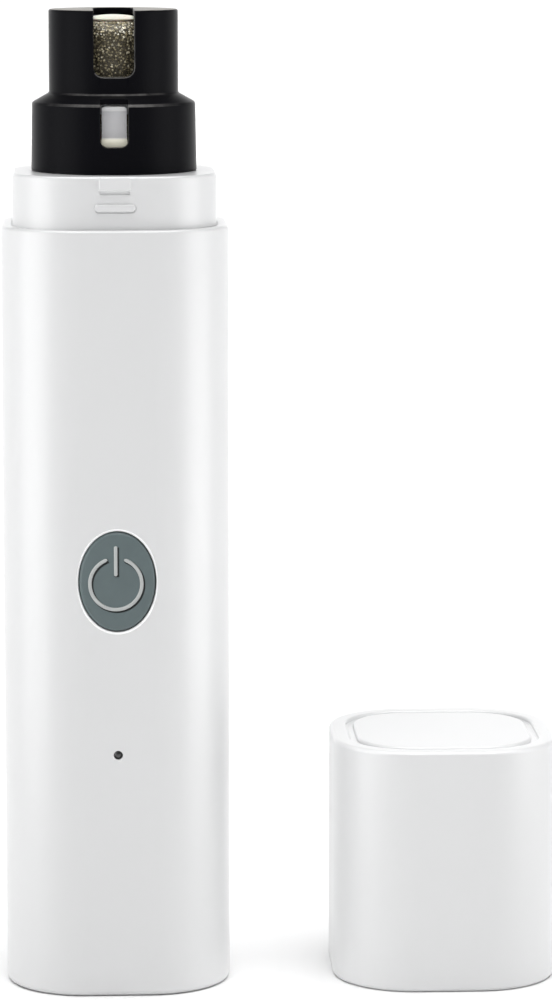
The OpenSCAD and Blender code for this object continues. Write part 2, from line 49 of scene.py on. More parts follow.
MM = 0.001

# Sizes read from the frame
SLEEVE_LO, SLEEVE_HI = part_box("outer_sleeve")
COLLAR_LO, COLLAR_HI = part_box("neck_collar")
GUARD_LO, GUARD_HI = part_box("head_guard")
DRUM_LO, DRUM_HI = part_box("grinding_drum")
DOME_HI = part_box("drum_cap")[1]
LATCH_LO, LATCH_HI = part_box("guard_latch")
PLUG_LO, PLUG_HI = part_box("base_plug")
CAP_LO, CAP_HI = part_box("cap_shell")
PLATE_LO, PLATE_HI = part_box("cap_top_plate")
HUB_LO, HUB_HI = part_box("drum_hub")
LENS_LO, LENS_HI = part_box("light_pipe")

HALF = (SLEEVE_HI.x - SLEEVE_LO.x)/2  # half the handle's width
CORNER = 10.7*MM  # radius of the handle's corners
FLAT = HALF - CORNER  # half the flat between two corners
INNERMOST = CORNER - 0.1*MM  # inset of the small ring that closes a flat face
CAP_X = (CAP_LO.x + CAP_HI.x)/2
LENS_Z = (LENS_LO.z + LENS_HI.z)/2

# Facets
CORNER_STEPS = 20  # round one corner of the handle
ROUND_STEPS = 144  # round a turned piece
DRUM_STEPS = 96  # round the drum, its dome and its hub
OVAL_STEPS = 96  # round the button and its hole
MERGE_DISTANCE = 1e-7  # points nearer than this become one

# Cutting shapes
HAIR = 0.02*MM  # their first step past a surface
CLEAR = 2*MM  # how far they stand clear of the handle's face


# ---------- mesh building ----------

def in_scene(name, data):
    made = bpy.data.objects.new(name, data)
    bpy.context.scene.collection.objects.link(made)
    return made


def make_object(name, vertices, faces):
    mesh = bpy.data.meshes.new(name)
    mesh.from_pydata([tuple(v) for v in vertices], [], faces)
    mesh.validate()
    body = bmesh.new()
    body.from_mesh(mesh)
    bmesh.ops.remove_doubles(body, verts=body.verts, dist=MERGE_DISTANCE)
    bmesh.ops.recalc_face_normals(body, faces=body.faces)
    body.to_mesh(mesh)
    body.free()
    return in_scene(name, mesh)


def loft(name, rings, capped=True):
    """Joins rings of equal length, and closes both ends or joins the last ring to the first."""
    size = len(rings[0])
    vertices = [point for ring in rings for point in ring]
    faces = []
    for i in range(len(rings) - 1 if capped else len(rings)):
        a, b = i*size, ((i + 1) % len(rings))*size
        for k in range(size):
            n = (k + 1) % size
            faces.append((a + k, a + n, b + n, b + k))
    if capped:
        faces.append(tuple(range(size)))
        faces.append(tuple(range(len(vertices) - size, len(vertices))))
    return make_object(name, vertices, faces)


def arc(centre_a, centre_b, radius, start, stop, steps=6):
    """Points on an arc in a profile's own two axes, angles in degrees."""
    points = []
    for i in range(steps + 1):
        angle = math.radians(start + (stop - start)*i/steps)
        points.append((centre_a + radius*math.cos(angle), centre_b + radius*math.sin(angle)))
    return points


def section_ring(inset, z, centre_x=0.0):
    """Rounded square, stepped in from the handle's outside by inset."""
    radius = CORNER - inset
    points = []
    for quarter in range(4):
        turn = math.radians(90*quarter + 45)
        cx = FLAT*math.copysign(1, math.cos(turn))
        cy = FLAT*math.copysign(1, math.sin(turn))
        for i in range(CORNER_STEPS + 1):
            angle = math.radians(90*quarter + 90*i/CORNER_STEPS)
            points.append((centre_x + cx + radius*math.cos(angle), cy + radius*math.sin(angle), z))
    return points


SECTION_ANGLES = [math.atan2(p[1], p[0]) for p in section_ring(0, 0)]


def round_ring(radius, z):
    """Circle whose points line up with those of a section ring."""
    return [(radius*math.cos(a), radius*math.sin(a), z) for a in SECTION_ANGLES]


def section_loft(name, profile, centre_x=0.0, capped=False):
    return loft(name, [section_ring(inset, z, centre_x) for inset, z in profile], capped)


def turned(name, profile, steps=ROUND_STEPS, capped=False):
    """Solid of revolution about Z from (radius, height) points."""
    rings = []
    for radius, z in profile:
        angles = [2*math.pi*(k + 0.5)/steps for k in range(steps)]
        rings.append([(radius*math.cos(a), radius*math.sin(a), z) for a in angles])
    return loft(name, rings, capped)


def ellipse_ring(a, b, y, centre_z, steps=OVAL_STEPS):
    angles = [2*math.pi*k/steps for k in range(steps)]
    return [(a*math.cos(t), y, centre_z + b*math.sin(t)) for t in angles]


def box_object(name, centre_x, half, y_range, z_range):
    corners = []
    for x in (centre_x - half, centre_x + half):
        corners += [(x, y, z) for y in y_range for z in z_range]
    faces = [(0, 1, 3, 2), (4, 6, 7, 5), (0, 4, 5, 1), (2, 3, 7, 6), (0, 2, 6, 4), (1, 5, 7, 3)]
    return make_object(name, corners, faces)


def apply_modifiers(made):
    graph = bpy.context.evaluated_depsgraph_get()
    mesh = bpy.data.meshes.new_from_object(made.evaluated_get(graph))
    old = made.data
    made.modifiers.clear()
    made.data = mesh
    bpy.data.meshes.remove(old)


def combine(made, tool, operation="DIFFERENCE"):
    """Cuts tool out of made, or joins it on, and removes tool."""
    modifier = made.modifiers.new("combine", "BOOLEAN")
    modifier.object = tool
    modifier.operation = operation
    modifier.solver = "EXACT"
    apply_modifiers(made)
    bpy.data.objects.remove(tool)


def mark_faces(made, strength):
    """Writes the rim attribute, which is strength(face) on every face: the mask for painted highlights and
    painted shade.
    """
    values = [strength(face) for face in made.data.polygons]
    rim = made.data.attributes.new("rim", "FLOAT", "FACE")
    rim.data.foreach_set("value", values)


def smooth_shading(made, crease):
    """Smooth, but for edges sharper than crease degrees."""
    made.data.shade_smooth()
    made.data.set_sharp_from_angle(angle=math.radians(crease))


def finish_piece(made, body, slot, material, *nodes, crease=32):
    """Shades a piece, ties it to its body and hides the CAD nodes it stands for; slot is not used. crease
    None keeps its shading.
    """
    if crease is not None:
        smooth_shading(made, crease)
        modifier = made.modifiers.new("flat_faces_stay_flat", "WEIGHTED_NORMAL")
        modifier.keep_sharp = True
    made.data.materials.clear()
    made.data.materials.append(material)
    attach(made, body)
    if nodes:
        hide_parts(*nodes)
    return made


# ---------- materials ----------

def add_node(tree, kind, **settings):
    """Adds a node. A setting goes to the node's own property, or else to the socket of that name."""
    node = tree.nodes.new(kind)
    for key, value in settings.items():
        if hasattr(node, key):
            setattr(node, key, value)
        else:
            node.inputs[key.replace("_", " ").title()].default_value = value
    return node


class Shader:
    """A material's node tree, with short ways to add nodes and join them."""

    def __init__(self, name, color, roughness, metallic=0.0):
        self.material = bpy.data.materials.new(name)
        self.material.use_nodes = True
        self.tree = self.material.node_tree
        self.surface = self.tree.nodes["Principled BSDF"]
        self.material.diffuse_color = (*color, 1)
        self.set(Base_Color=(*color, 1), Roughness=roughness, Metallic=metallic)
        self.coordinates = self.add("ShaderNodeTexCoord").outputs["Object"]
        self.base = None
        self.height = None

    def add(self, kind, **settings):
        """A node of this material's tree, as add_node makes it."""
        return add_node(self.tree, kind, **settings)

    def link(self, source, target):
        self.tree.links.new(source, target)

    def noise(self, feature, detail=3.0, roughness=0.55, stretch=(1, 1, 1)):
        """Noise whose blobs are about feature metres across."""
        mapping = self.add("ShaderNodeMapping", scale=stretch)
        self.link(self.coordinates, mapping.inputs["Vector"])
        texture = self.add("ShaderNodeTexNoise", scale=1/feature, detail=detail, roughness=roughness)
        self.link(mapping.outputs["Vector"], texture.inputs["Vector"])
        return texture.outputs["Fac"]

    def cells(self, feature, kind="F1"):
        texture = self.add("ShaderNodeTexVoronoi", feature=kind, scale=1/feature)
        self.link(self.coordinates, texture.inputs["Vector"])
        return texture.outputs["Distance"]

    def attribute(self, name):
        """A number that the mesh carries."""
        return self.add("ShaderNodeAttribute", attribute_name=name).outputs["Fac"]

    def height_of(self, vector):
        split = self.add("ShaderNodeSeparateXYZ")
        self.link(vector, split.inputs["Vector"])
        return split.outputs["Z"]

    def spread(self, value, low, high, from_low=0.3, from_high=0.7):
        """Maps a 0 to 1 value onto low to high."""
        limits = {"from_min": from_low, "from_max": from_high, "to_min": low, "to_max": high}
        node = self.add("ShaderNodeMapRange", **limits)
        self.link(value, node.inputs["Value"])
        return node.outputs["Result"]

    def ramp(self, value, stops):
        node = self.add("ShaderNodeValToRGB")
        elements = node.color_ramp.elements
        while len(elements) < len(stops):
            elements.new(0.5)
        for element, (position, color) in zip(elements, stops):
            element.position = position
            element.color = (*color, 1)
        self.link(value, node.inputs["Fac"])
        return node.outputs["Color"]

    def mix(self, factor, color_a, color_b, blend="MIX"):
        node = self.add("ShaderNodeMix", data_type="RGBA", blend_type=blend)
        sockets = {"Factor": factor, "A": color_a, "B": color_b}
        for key, value in sockets.items():
            socket = [s for s in node.inputs if s.name == key and s.enabled][0]
            if isinstance(value, bpy.types.NodeSocket):
                self.link(value, socket)
            else:
                socket.default_value = (*value, 1)
        return [s for s in node.outputs if s.enabled][0]

    def color(self, source):
        """Sets the colour. It stays in base, for a later call to mix from."""
        self.base = source
        self.link(source, self.surface.inputs["Base Color"])

    def rough(self, source):
        self.link(source, self.surface.inputs["Roughness"])

    def bump(self, source, depth):
        """Adds a height of depth metres to the surface; calls chain."""
        node = self.add("ShaderNodeBump", strength=1.0, distance=depth)
        self.link(source, node.inputs["Height"])
        if self.height is not None:
            self.link(self.height, node.inputs["Normal"])
        self.height = node.outputs["Normal"]
        self.link(self.height, self.surface.inputs["Normal"])

    def set(self, **values):
        for key, value in values.items():
            self.surface.inputs[key.replace("_", " ")].default_value = value


def shade(color, factor):
    return tuple(min(1.0, c*factor) for c in color)


def tints(color, low, high, start=0.3, stop=0.7):
    """Ramp stops between two shades of a colour."""
    return [(start, shade(color, low)), (stop, shade(color, high))]


def moulded_plastic(name, color, roughness, spark=0.12*MM, depth=1.5e-6, mottle=0.02, coat=0.0):
    """Injection-moulded plastic: fine spark texture, faint flow mottling and handling marks."""
    s = Shader(name, color, roughness)
    flow = s.noise(14*MM, detail=2, stretch=(1, 1, 0.35))
    s.color(s.ramp(flow, tints(color, 1 - mottle, 1 + mottle, 0.15, 0.85)))
    handling = s.noise(8*MM, detail=2, roughness=0.5)
    s.rough(s.spread(handling, roughness*0.94, roughness*1.06, 0.15, 0.85))
    s.bump(s.noise(spark, detail=2), depth)
    s.bump(s.noise(9*MM, detail=1), depth*4)
    s.set(IOR=1.5)
    if coat:
        s.set(Coat_Weight=coat, Coat_Roughness=0.34, Coat_IOR=1.6)
    return s


def hard_plastic(name, color, roughness, **options):
    return moulded_plastic(name, color, roughness, **options).material


def gloss_white(name):
    """Glossy white. Faces whose rim attribute is 1 are painted brighter: a painted highlight on the lip
    round the button's hole.
    """
    white, lip_highlight = (0.60, 0.602, 0.605), (0.93, 0.93, 0.93)
    s = moulded_plastic(name, white, 0.44, mottle=0.006, depth=0.6e-6, coat=1.0)
    # painted highlight: the marked lip is mixed to near white
    s.color(s.mix(s.attribute("rim"), s.base, lip_highlight))
    return s.material


def satin_black(name):
    """Soft-touch black: a pale painted sheen on upward faces, painted highlights on edges, a soft sheen at
    low angles.
    """
    black, speck, edge_highlight = (0.0022, 0.0022, 0.0034), (0.012, 0.012, 0.014), (0.16, 0.155, 0.15)
    top_sheen_dark, top_sheen_pale = (0.11, 0.10, 0.082), (0.17, 0.157, 0.13)
    s = moulded_plastic(name, black, 0.36, spark=0.16*MM, depth=3.5e-6, mottle=0.15)
    specked = s.ramp(s.cells(0.6*MM), [(0.0, speck), (0.08, black), (1.0, black)])
    patches = s.noise(3*MM, detail=4)
    # painted highlight: faces marked by the rim attribute are lightened, as light catching the edges
    highlighted = s.ramp(s.attribute("rim"), [(0.0, (0, 0, 0)), (1.0, edge_highlight)])
    specks_and_highlights = s.mix(s.spread(patches, 0.15, 0.9), specked, highlighted, "ADD")
    # painted sheen: faces that point up are mixed to a pale colour, as light falling from above
    facing_up = s.height_of(s.add("ShaderNodeNewGeometry").outputs["Normal"])
    top_sheen_mask = s.spread(facing_up, 0.0, 0.9, 0.87, 1.0)
    top_sheen = s.ramp(patches, [(0.3, top_sheen_dark), (0.7, top_sheen_pale)])
    s.color(s.mix(top_sheen_mask, specks_and_highlights, top_sheen))
    s.set(Specular_IOR_Level=0.04)
    s.set(Sheen_Weight=0.16, Sheen_Roughness=0.2, Sheen_Tint=(1, 0.97, 0.93, 1))
    return s.material


def silicone(name, color, roughness=0.5):
    """Matt silicone with a faint bloom. Faces whose rim attribute is 1 are painted dark, as painted shade
    in the groove.
    """
    s = Shader(name, color, roughness)
    bloom = s.noise(2.2*MM, detail=5, roughness=0.6)
    s.color(s.ramp(bloom, tints(color, 0.95, 1.05, 0.3, 0.72)))
    # painted shade: the groove's marked faces are darkened
    s.color(s.mix(s.attribute("rim"), s.base, shade(color, 0.12)))
    s.rough(s.spread(s.noise(0.8*MM), roughness*0.9, roughness*1.12))
    s.bump(s.noise(0.09*MM, detail=2), 2.5e-6)
    s.set(Sheen_Weight=0.12, Sheen_Roughness=0.4)
    return s.material


def acetal(name, color, roughness=0.3):
    s = Shader(name, color, roughness)
    s.color(s.ramp(s.noise(3*MM), tints(color, 0.975, 1.015)))
    s.rough(s.spread(s.noise(0.6*MM), roughness*0.85, roughness*1.2))
    s.bump(s.noise(0.2*MM, detail=1), 1.2e-6)
    s.set(Subsurface_Weight=0.15, Subsurface_Scale=0.0012)
    return s.material


def latch_acetal(name):
    """Acetal with painted highlights: a cream lip at its foot and a pale crown, lighter where they face
    the light from above.
    """
    face, lip, crown = (0.63, 0.625, 0.64), (0.86, 0.83, 0.69), (0.95, 0.95, 0.95)
    lip_top, lip_blur = 113.45*MM, 0.15*MM
    crown_low, crown_blur = LATCH_HI.z - 0.6*MM, 0.1*MM
    s = Shader(name, face, 0.32)
    z = s.height_of(s.coordinates)
    # painted highlights: the lip below lip_top and the crown above crown_low are lighter
    lip_highlight_mask = s.spread(z, 1.0, 0.0, lip_top - lip_blur, lip_top + lip_blur)
    crown_highlight_mask = s.spread(z, 0.0, 1.0, crown_low - crown_blur, crown_low + crown_blur)
    mottled = s.ramp(s.noise(2*MM), tints(face, 0.97, 1.03))
    s.color(s.mix(crown_highlight_mask, s.mix(lip_highlight_mask, mottled, lip), crown))
    s.rough(s.spread(s.noise(0.6*MM), 0.28, 0.4))
    s.bump(s.noise(0.2*MM, detail=1), 1.2e-6)
    return s.material


def brushed_metal(name, color, roughness=0.3, stretch=(1, 1, 0.04), line=0.05*MM):
    """Metal with fine drawn lines and a little tarnish. stretch is small along the lines."""
    s = Shader(name, color, roughness, metallic=1.0)
    lines = s.noise(line, detail=4, roughness=0.7, stretch=stretch)
    drawn = s.ramp(lines, [(0.3, shade(color, 0.88)), (0.7, color)])
    tarnish = s.noise(2.5*MM, detail=5)
    s.color(s.mix(s.spread(tarnish, 0.0, 0.5), drawn, shade(color, 0.72)))
    s.rough(s.spread(lines, roughness*0.8, roughness*1.3))
    s.bump(lines, 2e-6)
    return s.material


def rubbery(name, color, roughness=0.6):
    s = Shader(name, color, roughness)
    s.color(s.ramp(s.noise(1.2*MM, detail=4), tints(color, 0.8, 1.25)))
    s.bump(s.noise(0.1*MM, detail=2), 4e-6)
    s.rough(s.spread(s.noise(0.5*MM), roughness*0.85, roughness*1.15))
    return s.material


def circuit_laminate(name):
    """Solder mask over copper: tracks show as slightly raised, lighter strips."""
    mask, track = (0.018, 0.12, 0.05), (0.035, 0.2, 0.085)
    s = Shader(name, mask, 0.3)
    tracks = s.cells(1.6*MM, kind="DISTANCE_TO_EDGE")
    s.color(s.ramp(tracks, [(0.0, track), (0.09, track), (0.11, mask)]))
    s.bump(s.ramp(tracks, [(0.08, (1, 1, 1)), (0.12, (0, 0, 0))]), 2e-5)
    s.rough(s.spread(s.noise(0.3*MM), 0.22, 0.4))
    s.set(Coat_Weight=0.5, Coat_Roughness=0.1)
    return s.material


def felt(name, color):
    s = Shader(name, color, 0.95)
    fibres = s.noise(0.12*MM, detail=6, roughness=0.75, stretch=(1, 1, 0.4))
    s.color(s.ramp(fibres, tints(color, 0.6, 1.2)))
    s.bump(fibres, 6e-5)
    s.set(Sheen_Weight=0.5, Sheen_Roughness=0.6)
    return s.material


def grit_metal(name):
    """Plated abrasive. The mesh's grain attribute, 0 on the plating, picks each grain's colour, painted
    highlight included.
    """
    s = Shader(name, (0.3, 0.27, 0.19), 0.4, metallic=0.35)
    tones = [(0.0, (0.055, 0.046, 0.028)), (0.2, (0.14, 0.12, 0.068)), (0.45, (0.26, 0.22, 0.13)),
             (0.65, (0.42, 0.36, 0.22)), (0.82, (0.68, 0.61, 0.42)), (1.0, (0.95, 0.92, 0.80))]
    stain = (0.11, 0.10, 0.075)
    plating = s.noise(0.7*MM, detail=4)
    s.color(s.mix(s.spread(plating, 0.0, 0.4), s.ramp(s.attribute("grain"), tones), stain))
    s.rough(s.spread(s.noise(0.15*MM), 0.24, 0.55))
    s.bump(s.noise(0.07*MM, detail=3), 2e-5)
    return s.material


WHITE = gloss_white("white_abs")
COLLAR_WHITE = gloss_white("white_collar_abs")
BLACK = satin_black("black_satin_plastic")
BUTTON = silicone("slate_silicone", (0.088, 0.118, 0.122))
ICON = silicone("pale_silicone", (0.40, 0.415, 0.41), 0.42)
IVORY = acetal("ivory_acetal", (0.83, 0.80, 0.68))
LATCH = latch_acetal("offwhite_acetal")
LED = acetal("led_package", (0.85, 0.76, 0.42))
LENS = hard_plastic("smoked_acrylic", (0.006, 0.006, 0.007), 0.12, depth=0.3e-6, coat=0.8)
PLUG = hard_plastic("grey_white_abs", (0.66, 0.665, 0.67), 0.42, depth=3e-6)
FRAME = hard_plastic("natural_abs", (0.62, 0.615, 0.58), 0.45, depth=3e-6)
EPOXY = hard_plastic("black_epoxy", (0.012, 0.012, 0.013), 0.5, depth=3e-6)
WRAP = hard_plastic("blue_shrink_wrap", (0.02, 0.07, 0.28), 0.22, spark=2*MM, depth=4e-6, coat=0.4)
GRIT = grit_metal("plated_grit")
STEEL = brushed_metal("nickel_steel", (0.62, 0.61, 0.59))
CAN = brushed_metal("drawn_steel", (0.64, 0.64, 0.65), 0.34, line=0.12*MM)
CORE = brushed_metal("laminated_core", (0.30, 0.30, 0.31), 0.45, stretch=(0.05, 0.05, 1), line=0.35*MM)
MAGNET = rubbery("ferrite", (0.035, 0.035, 0.038), 0.5)
COPPER = brushed_metal("copper_alloy", (0.72, 0.38, 0.20), 0.32)
WINDING = brushed_metal("enamelled_wire", (0.58, 0.20, 0.07), 0.28, stretch=(1, 1, 0.02), line=0.22*MM)
BRONZE = brushed_metal("sintered_bronze", (0.62, 0.43, 0.18), 0.45, stretch=(1, 1, 1), line=0.1*MM)
BLACK_RUBBER = rubbery("black_rubber", (0.02, 0.02, 0.02))
RED_WIRE = rubbery("red_wire", (0.42, 0.012, 0.010), 0.4)
BLACK_WIRE = rubbery("black_wire", (0.014, 0.014, 0.014), 0.4)
FELT = felt("wool_felt", (0.36, 0.29, 0.19))
LAMINATE = circuit_laminate("green_laminate")


# ---------- handle ----------

WALL = 1.5*MM
SLEEVE_FLOOR = 2.4*MM  # thickness of the sleeve's bottom
FOOT = 0.8*MM  # rounding of the handle's foot
EDGE = 0.4*MM  # rounding of the sleeve's and the collar's upper edges
BREAK = 0.2*MM  # chamfer of the edges out of sight
BUTTON_A, BUTTON_B = 9.95*MM/2, 13.1*MM/2  # half the button's width and height
BUTTON_Z = 55.9*MM
HOLE_GAP = 0.12*MM  # round the button, in its hole
HOLE_LIP = 0.38*MM
LIP_HIGHLIGHT_FACET = 0.5*MM*MM  # the lip's facets are smaller than this, the wall's larger
LIGHT_HOLE_R = 0.6*MM
LIGHT_HOLE_LIP = 0.1*MM
OPENING_HALF = 11.5*MM  # half the sleeve's opening for the base plug
PLUG_HALF = 11.45*MM


def lip_steps(radius, steps=5, last=78):
    """(offset, depth) pairs of a rounded lip, from the bare hole outwards."""
    angles = [math.radians(last*i/steps) for i in range(steps + 1)]
    return [(radius*(1 - math.cos(a)), radius*(1 - math.sin(a))) for a in angles]


def cut_front_hole(made, a, b, z, lip):
    """Oval hole through the front wall with a rounded lip."""
    face = -HALF
    rings = [ellipse_ring(a, b, face + 5*WALL, z)]
    for offset, depth in lip_steps(lip):
        rings.append(ellipse_ring(a + offset, b + offset, face + depth, z))
    rings.append(ellipse_ring(a + lip, b + lip, face - HAIR, z))
    rings.append(ellipse_ring(a + lip, b + lip, face - CLEAR, z))
    combine(made, loft("hole", rings))


def build_sleeve():
    top = SLEEVE_HI.z
    opening = HALF - OPENING_HALF
    profile = arc(FOOT, FOOT, FOOT, 270, 180)
    profile += arc(EDGE, top - EDGE, EDGE, 180, 90)
    profile += [(WALL - BREAK, top), (WALL, top - BREAK), (WALL, SLEEVE_FLOOR)]
    profile += [(opening, SLEEVE_FLOOR), (opening, BREAK), (opening - BREAK, 0)]
    made = section_loft("sleeve", profile)
    cut_front_hole(made, BUTTON_A + HOLE_GAP, BUTTON_B + HOLE_GAP, BUTTON_Z, HOLE_LIP)
    cut_front_hole(made, LIGHT_HOLE_R, LIGHT_HOLE_R, LENS_Z, LIGHT_HOLE_LIP)
    reach = HOLE_LIP + HOLE_GAP + HAIR

    # marks the lip round the button's hole for its painted highlight
    def lip_highlight(face):
        across = face.center.x/(BUTTON_A + reach)
        along = (face.center.z - BUTTON_Z)/(BUTTON_B + reach)
        on_lip = math.hypot(across, along) < 1 and face.center.y < -HALF + 0.8*HOLE_LIP
        return 1.0 if on_lip and face.area < LIP_HIGHLIGHT_FACET else 0.0

    mark_faces(made, lip_highlight)
    return finish_piece(made, "handle", "white_gloss", WHITE, "outer_sleeve")


def rounded_slot(half_width, bottom, corner, top, steps=8):
    """Outline in X and Z: open-topped slot with rounded lower corners."""
    points = [(-half_width, top)]
    points += arc(-half_width + corner, bottom + corner, corner, 180, 270, steps)
    points += arc(half_width - corner, bottom + corner, corner, 270, 360, steps)
    return points + [(half_width, top)]


def stadium_ring(half_length, half_height, y, centre_z, centre_x=0.0, steps=10):
    points = arc(half_length - half_height, centre_z, half_height, -90, 90, steps)
    points += arc(-half_length + half_height, centre_z, half_height, 90, 270, steps)
    return [(x + centre_x, y, z) for x, z in points]


COLLAR_TOP = 108.8*MM
COLLAR_ROOF = 1.6*MM
SPIGOT_R = 9.4*MM  # the round part that carries the guard
SPIGOT_EDGE = 0.3*MM
SPIGOT_BORE = 8.1*MM
SPIGOT_ROOF = 1.2*MM
STEM_HOLE_R = 3.6*MM
STEM_HOLE_EDGE = 0.15*MM
SUNK = 0.25*MM  # depth of the outlines pressed in by the catch and the rib
CATCH_Z = 107.05*MM  # height of the catch's foot
CATCH_ENDS = ((-2.1, 0.6), (-1.98, 1.0), (1.98, 1.0), (2.1, 0.6))  # (x in mm, share of its depth)
CATCH_OUTLINE = [(1.0, -0.05), (-0.42, -0.05), (-0.5, 0.04), (-0.47, 0.16), (0, 1.55), (1.0, 1.55)]
CATCH_POCKET_HALF = 1.95*MM
CATCH_POCKET_Z = (106.45*MM, 107.1*MM)
RIB_Z = 104.73*MM
RIB_HALF = (2.7*MM, 0.525*MM)  # half its length and half its height
RIB_STEPS = ((0, -0.6), (0, 0.15), (0.05, 0.26), (0.16, 0.33), (0.28, 0.35))  # (inset, rise) in mm
RIB_GAP_HALF = (2.76*MM, 0.6*MM)
RIB_GAP_X, RIB_GAP_Z = 0.05*MM, 104.64*MM
LATCH_SLOT_GAP = 0.5*MM  # on each side of the tongue
LATCH_SLOT_Y = (-10.6*MM, -7*MM)
LATCH_SLOT_Z = (109.3*MM, 125*MM)


def collar_catch(face):
    """Wedge that the travel cap clicks over: a long ramp above and a short steep one below."""
    rings = []
    for x, share in CATCH_ENDS:
        ring = []
        for y, z in CATCH_OUTLINE:
            out = y*MM if y > 0 else y*MM*share
            ring.append((x*MM, face + out, CATCH_Z + z*MM))
        rings.append(ring)
    return loft("catch", rings)


def build_collar():
    bottom, tip, face = COLLAR_LO.z, COLLAR_HI.z, COLLAR_LO.x
    step = HALF - COLLAR_HI.x
    inner = step + WALL
    crown = arc(EDGE, COLLAR_TOP - EDGE, EDGE, 180, 90)
    root = arc(SPIGOT_R + SPIGOT_EDGE, COLLAR_TOP + SPIGOT_EDGE, SPIGOT_EDGE, 270, 180, 4)
    end = arc(SPIGOT_R - SPIGOT_EDGE, tip - SPIGOT_EDGE, SPIGOT_EDGE, 0, 90, 4)
    end += [(STEM_HOLE_R + STEM_HOLE_EDGE, tip), (STEM_HOLE_R, tip - STEM_HOLE_EDGE)]
    end += [(STEM_HOLE_R, tip - SPIGOT_ROOF), (SPIGOT_BORE, tip - SPIGOT_ROOF)]
    end += [(SPIGOT_BORE, COLLAR_TOP - COLLAR_ROOF)]
    rings = [section_ring(step, bottom)]
    rings += [section_ring(step + inset, z) for inset, z in crown]
    rings += [round_ring(r, z) for r, z in root + end]
    rings += [section_ring(inner, COLLAR_TOP - COLLAR_ROOF), section_ring(inner, bottom)]
    made = loft("collar", rings, capped=False)

    sunk = (face - MM, face + SUNK)
    combine(made, box_object("catch_pocket", 0, CATCH_POCKET_HALF, sunk, CATCH_POCKET_Z))
    gap = [stadium_ring(*RIB_GAP_HALF, y, RIB_GAP_Z, RIB_GAP_X) for y in sunk]
    combine(made, loft("rib_gap", gap))
    combine(made, collar_catch(face), "UNION")
    length, height = RIB_HALF
    rib = []
    for inset, rise in RIB_STEPS:
        rib.append(stadium_ring(length - inset*MM, height - inset*MM, face - rise*MM, RIB_Z))
    combine(made, loft("rib", rib), "UNION")
    slot = (LATCH_HI.x - LATCH_LO.x)/2 + LATCH_SLOT_GAP
    combine(made, box_object("slot", 0, slot, LATCH_SLOT_Y, LATCH_SLOT_Z))
    return finish_piece(made, "handle", "collar_white", COLLAR_WHITE, "neck_collar")


LATCH_BACK, LATCH_FOOT, LATCH_FACE, LATCH_LIP = 8.25*MM, 8.75*MM, 8.85*MM, 9.38*MM  # radii
LATCH_LIP_LOW = [(0.08, 110.1), (0, 110.3)]  # (step in from the lip's face, z) in mm
LATCH_LIP_RAMP = [(0, 112.3), (0.03, 112.6), (0.1, 112.9), (0.22, 113.15), (0.38, 113.35)]
LATCH_ROOT = [(0.03, 113.46), (0, 113.6)]  # (step out from the tongue's face, z) in mm
LATCH_ROUND = 0.12*MM
LATCH_CORNER, LATCH_ARCH = 0.4*MM, 0.15*MM  # its top seen from the front
LATCH_STEPS = 16


def latch_front():
    """Outline in X and Z that the tongue is trimmed to: an arched top with soft corners."""
    half = (LATCH_HI.x - LATCH_LO.x)/2
    top, foot = LATCH_HI.z, LATCH_LO.z
    shoulder = top - LATCH_ARCH
    crown = (half*half + LATCH_ARCH*LATCH_ARCH)/(2*LATCH_ARCH)
    sweep = math.degrees(math.asin((half - LATCH_CORNER)/crown))
    outline = [(half, shoulder - LATCH_CORNER), (half - 0.1*MM, shoulder - 0.15*MM)]
    outline += arc(0, top - crown, crown, 90 - sweep, 90 + sweep, 12)
    outline += [(-half + 0.1*MM, shoulder - 0.15*MM), (-half, shoulder - LATCH_CORNER)]
    return outline + [(-half, foot - MM), (half, foot - MM)]


def build_latch():
    """Spring tongue: a curved plate with rounded top corners and a ramped lip near its foot."""
    top, foot = LATCH_HI.z, LATCH_LO.z
    outline = [(LATCH_BACK, foot), (LATCH_FOOT, foot)]
    outline += [(LATCH_LIP - step*MM, z*MM) for step, z in LATCH_LIP_LOW + LATCH_LIP_RAMP]
    outline += [(LATCH_FACE + step*MM, z*MM) for step, z in LATCH_ROOT]
    outline += arc(LATCH_FACE - LATCH_ROUND, top - LATCH_ROUND, LATCH_ROUND, 0, 90, 4)
    outline += [(LATCH_BACK, top)]
    reach = (LATCH_HI.x - LATCH_LO.x)/2/LATCH_LIP
    rings = []
    for i in range(LATCH_STEPS + 1):
        angle = reach*(2*i/LATCH_STEPS - 1)
        rings.append([(r*math.sin(angle), -r*math.cos(angle), z) for r, z in outline])
    made = loft("latch", rings)
    front, back = -12*MM, -6*MM
    rings = [[(x, y, z) for x, z in latch_front()] for y in (front, back)]
    combine(made, loft("outline", rings), "INTERSECT")
    return finish_piece(made, "latch", "latch_plastic", LATCH, "guard_latch", crease=40)


# ---------- guard ----------

SHOULDER_Z = 118*MM
SHOULDER_TOP = 119.1*MM
SKIRT_R = 10.8*MM  # at the shoulder; it widens a little downwards
TIER_R = 8.53*MM
SKIRT_BORE = 9.5*MM
TIER_BORE = 7.15*MM
TIER_BORE_LOW = SHOULDER_Z - 0.1*MM
ROOF = 0.7*MM
ROOF_EYE = 0.6*MM  # radius left open by turning, inside the port's slot
SKIRT_ROUND, SHOULDER_ROUND = 0.12*MM, 0.5*MM
CREASE_ROUND, TOP_ROUND = 0.4*MM, 0.28*MM
SLOT_FRONT = -14*MM  # where the slots' cutting shapes begin
LIP_FACETS, LIP_SWEEP = 4, 74

PORT_HALF = 2.65*MM
PORT_Z = 121.4*MM
PORT_CORNER = 1.2*MM
PORT_LIP = 0.16*MM
PORT_BACK = 3.75*MM  # centre of the roof slot's rounded end
PORT_INSIDE = -3*MM
WINDOW_HALF = 1.83*MM  # the latch's window
WINDOW_LOW, WINDOW_TOP = 112.4*MM, 118.95*MM
WINDOW_CORNER = 0.9*MM
WINDOW_LIP = 0.1*MM
WINDOW_INSIDE = -9.3*MM

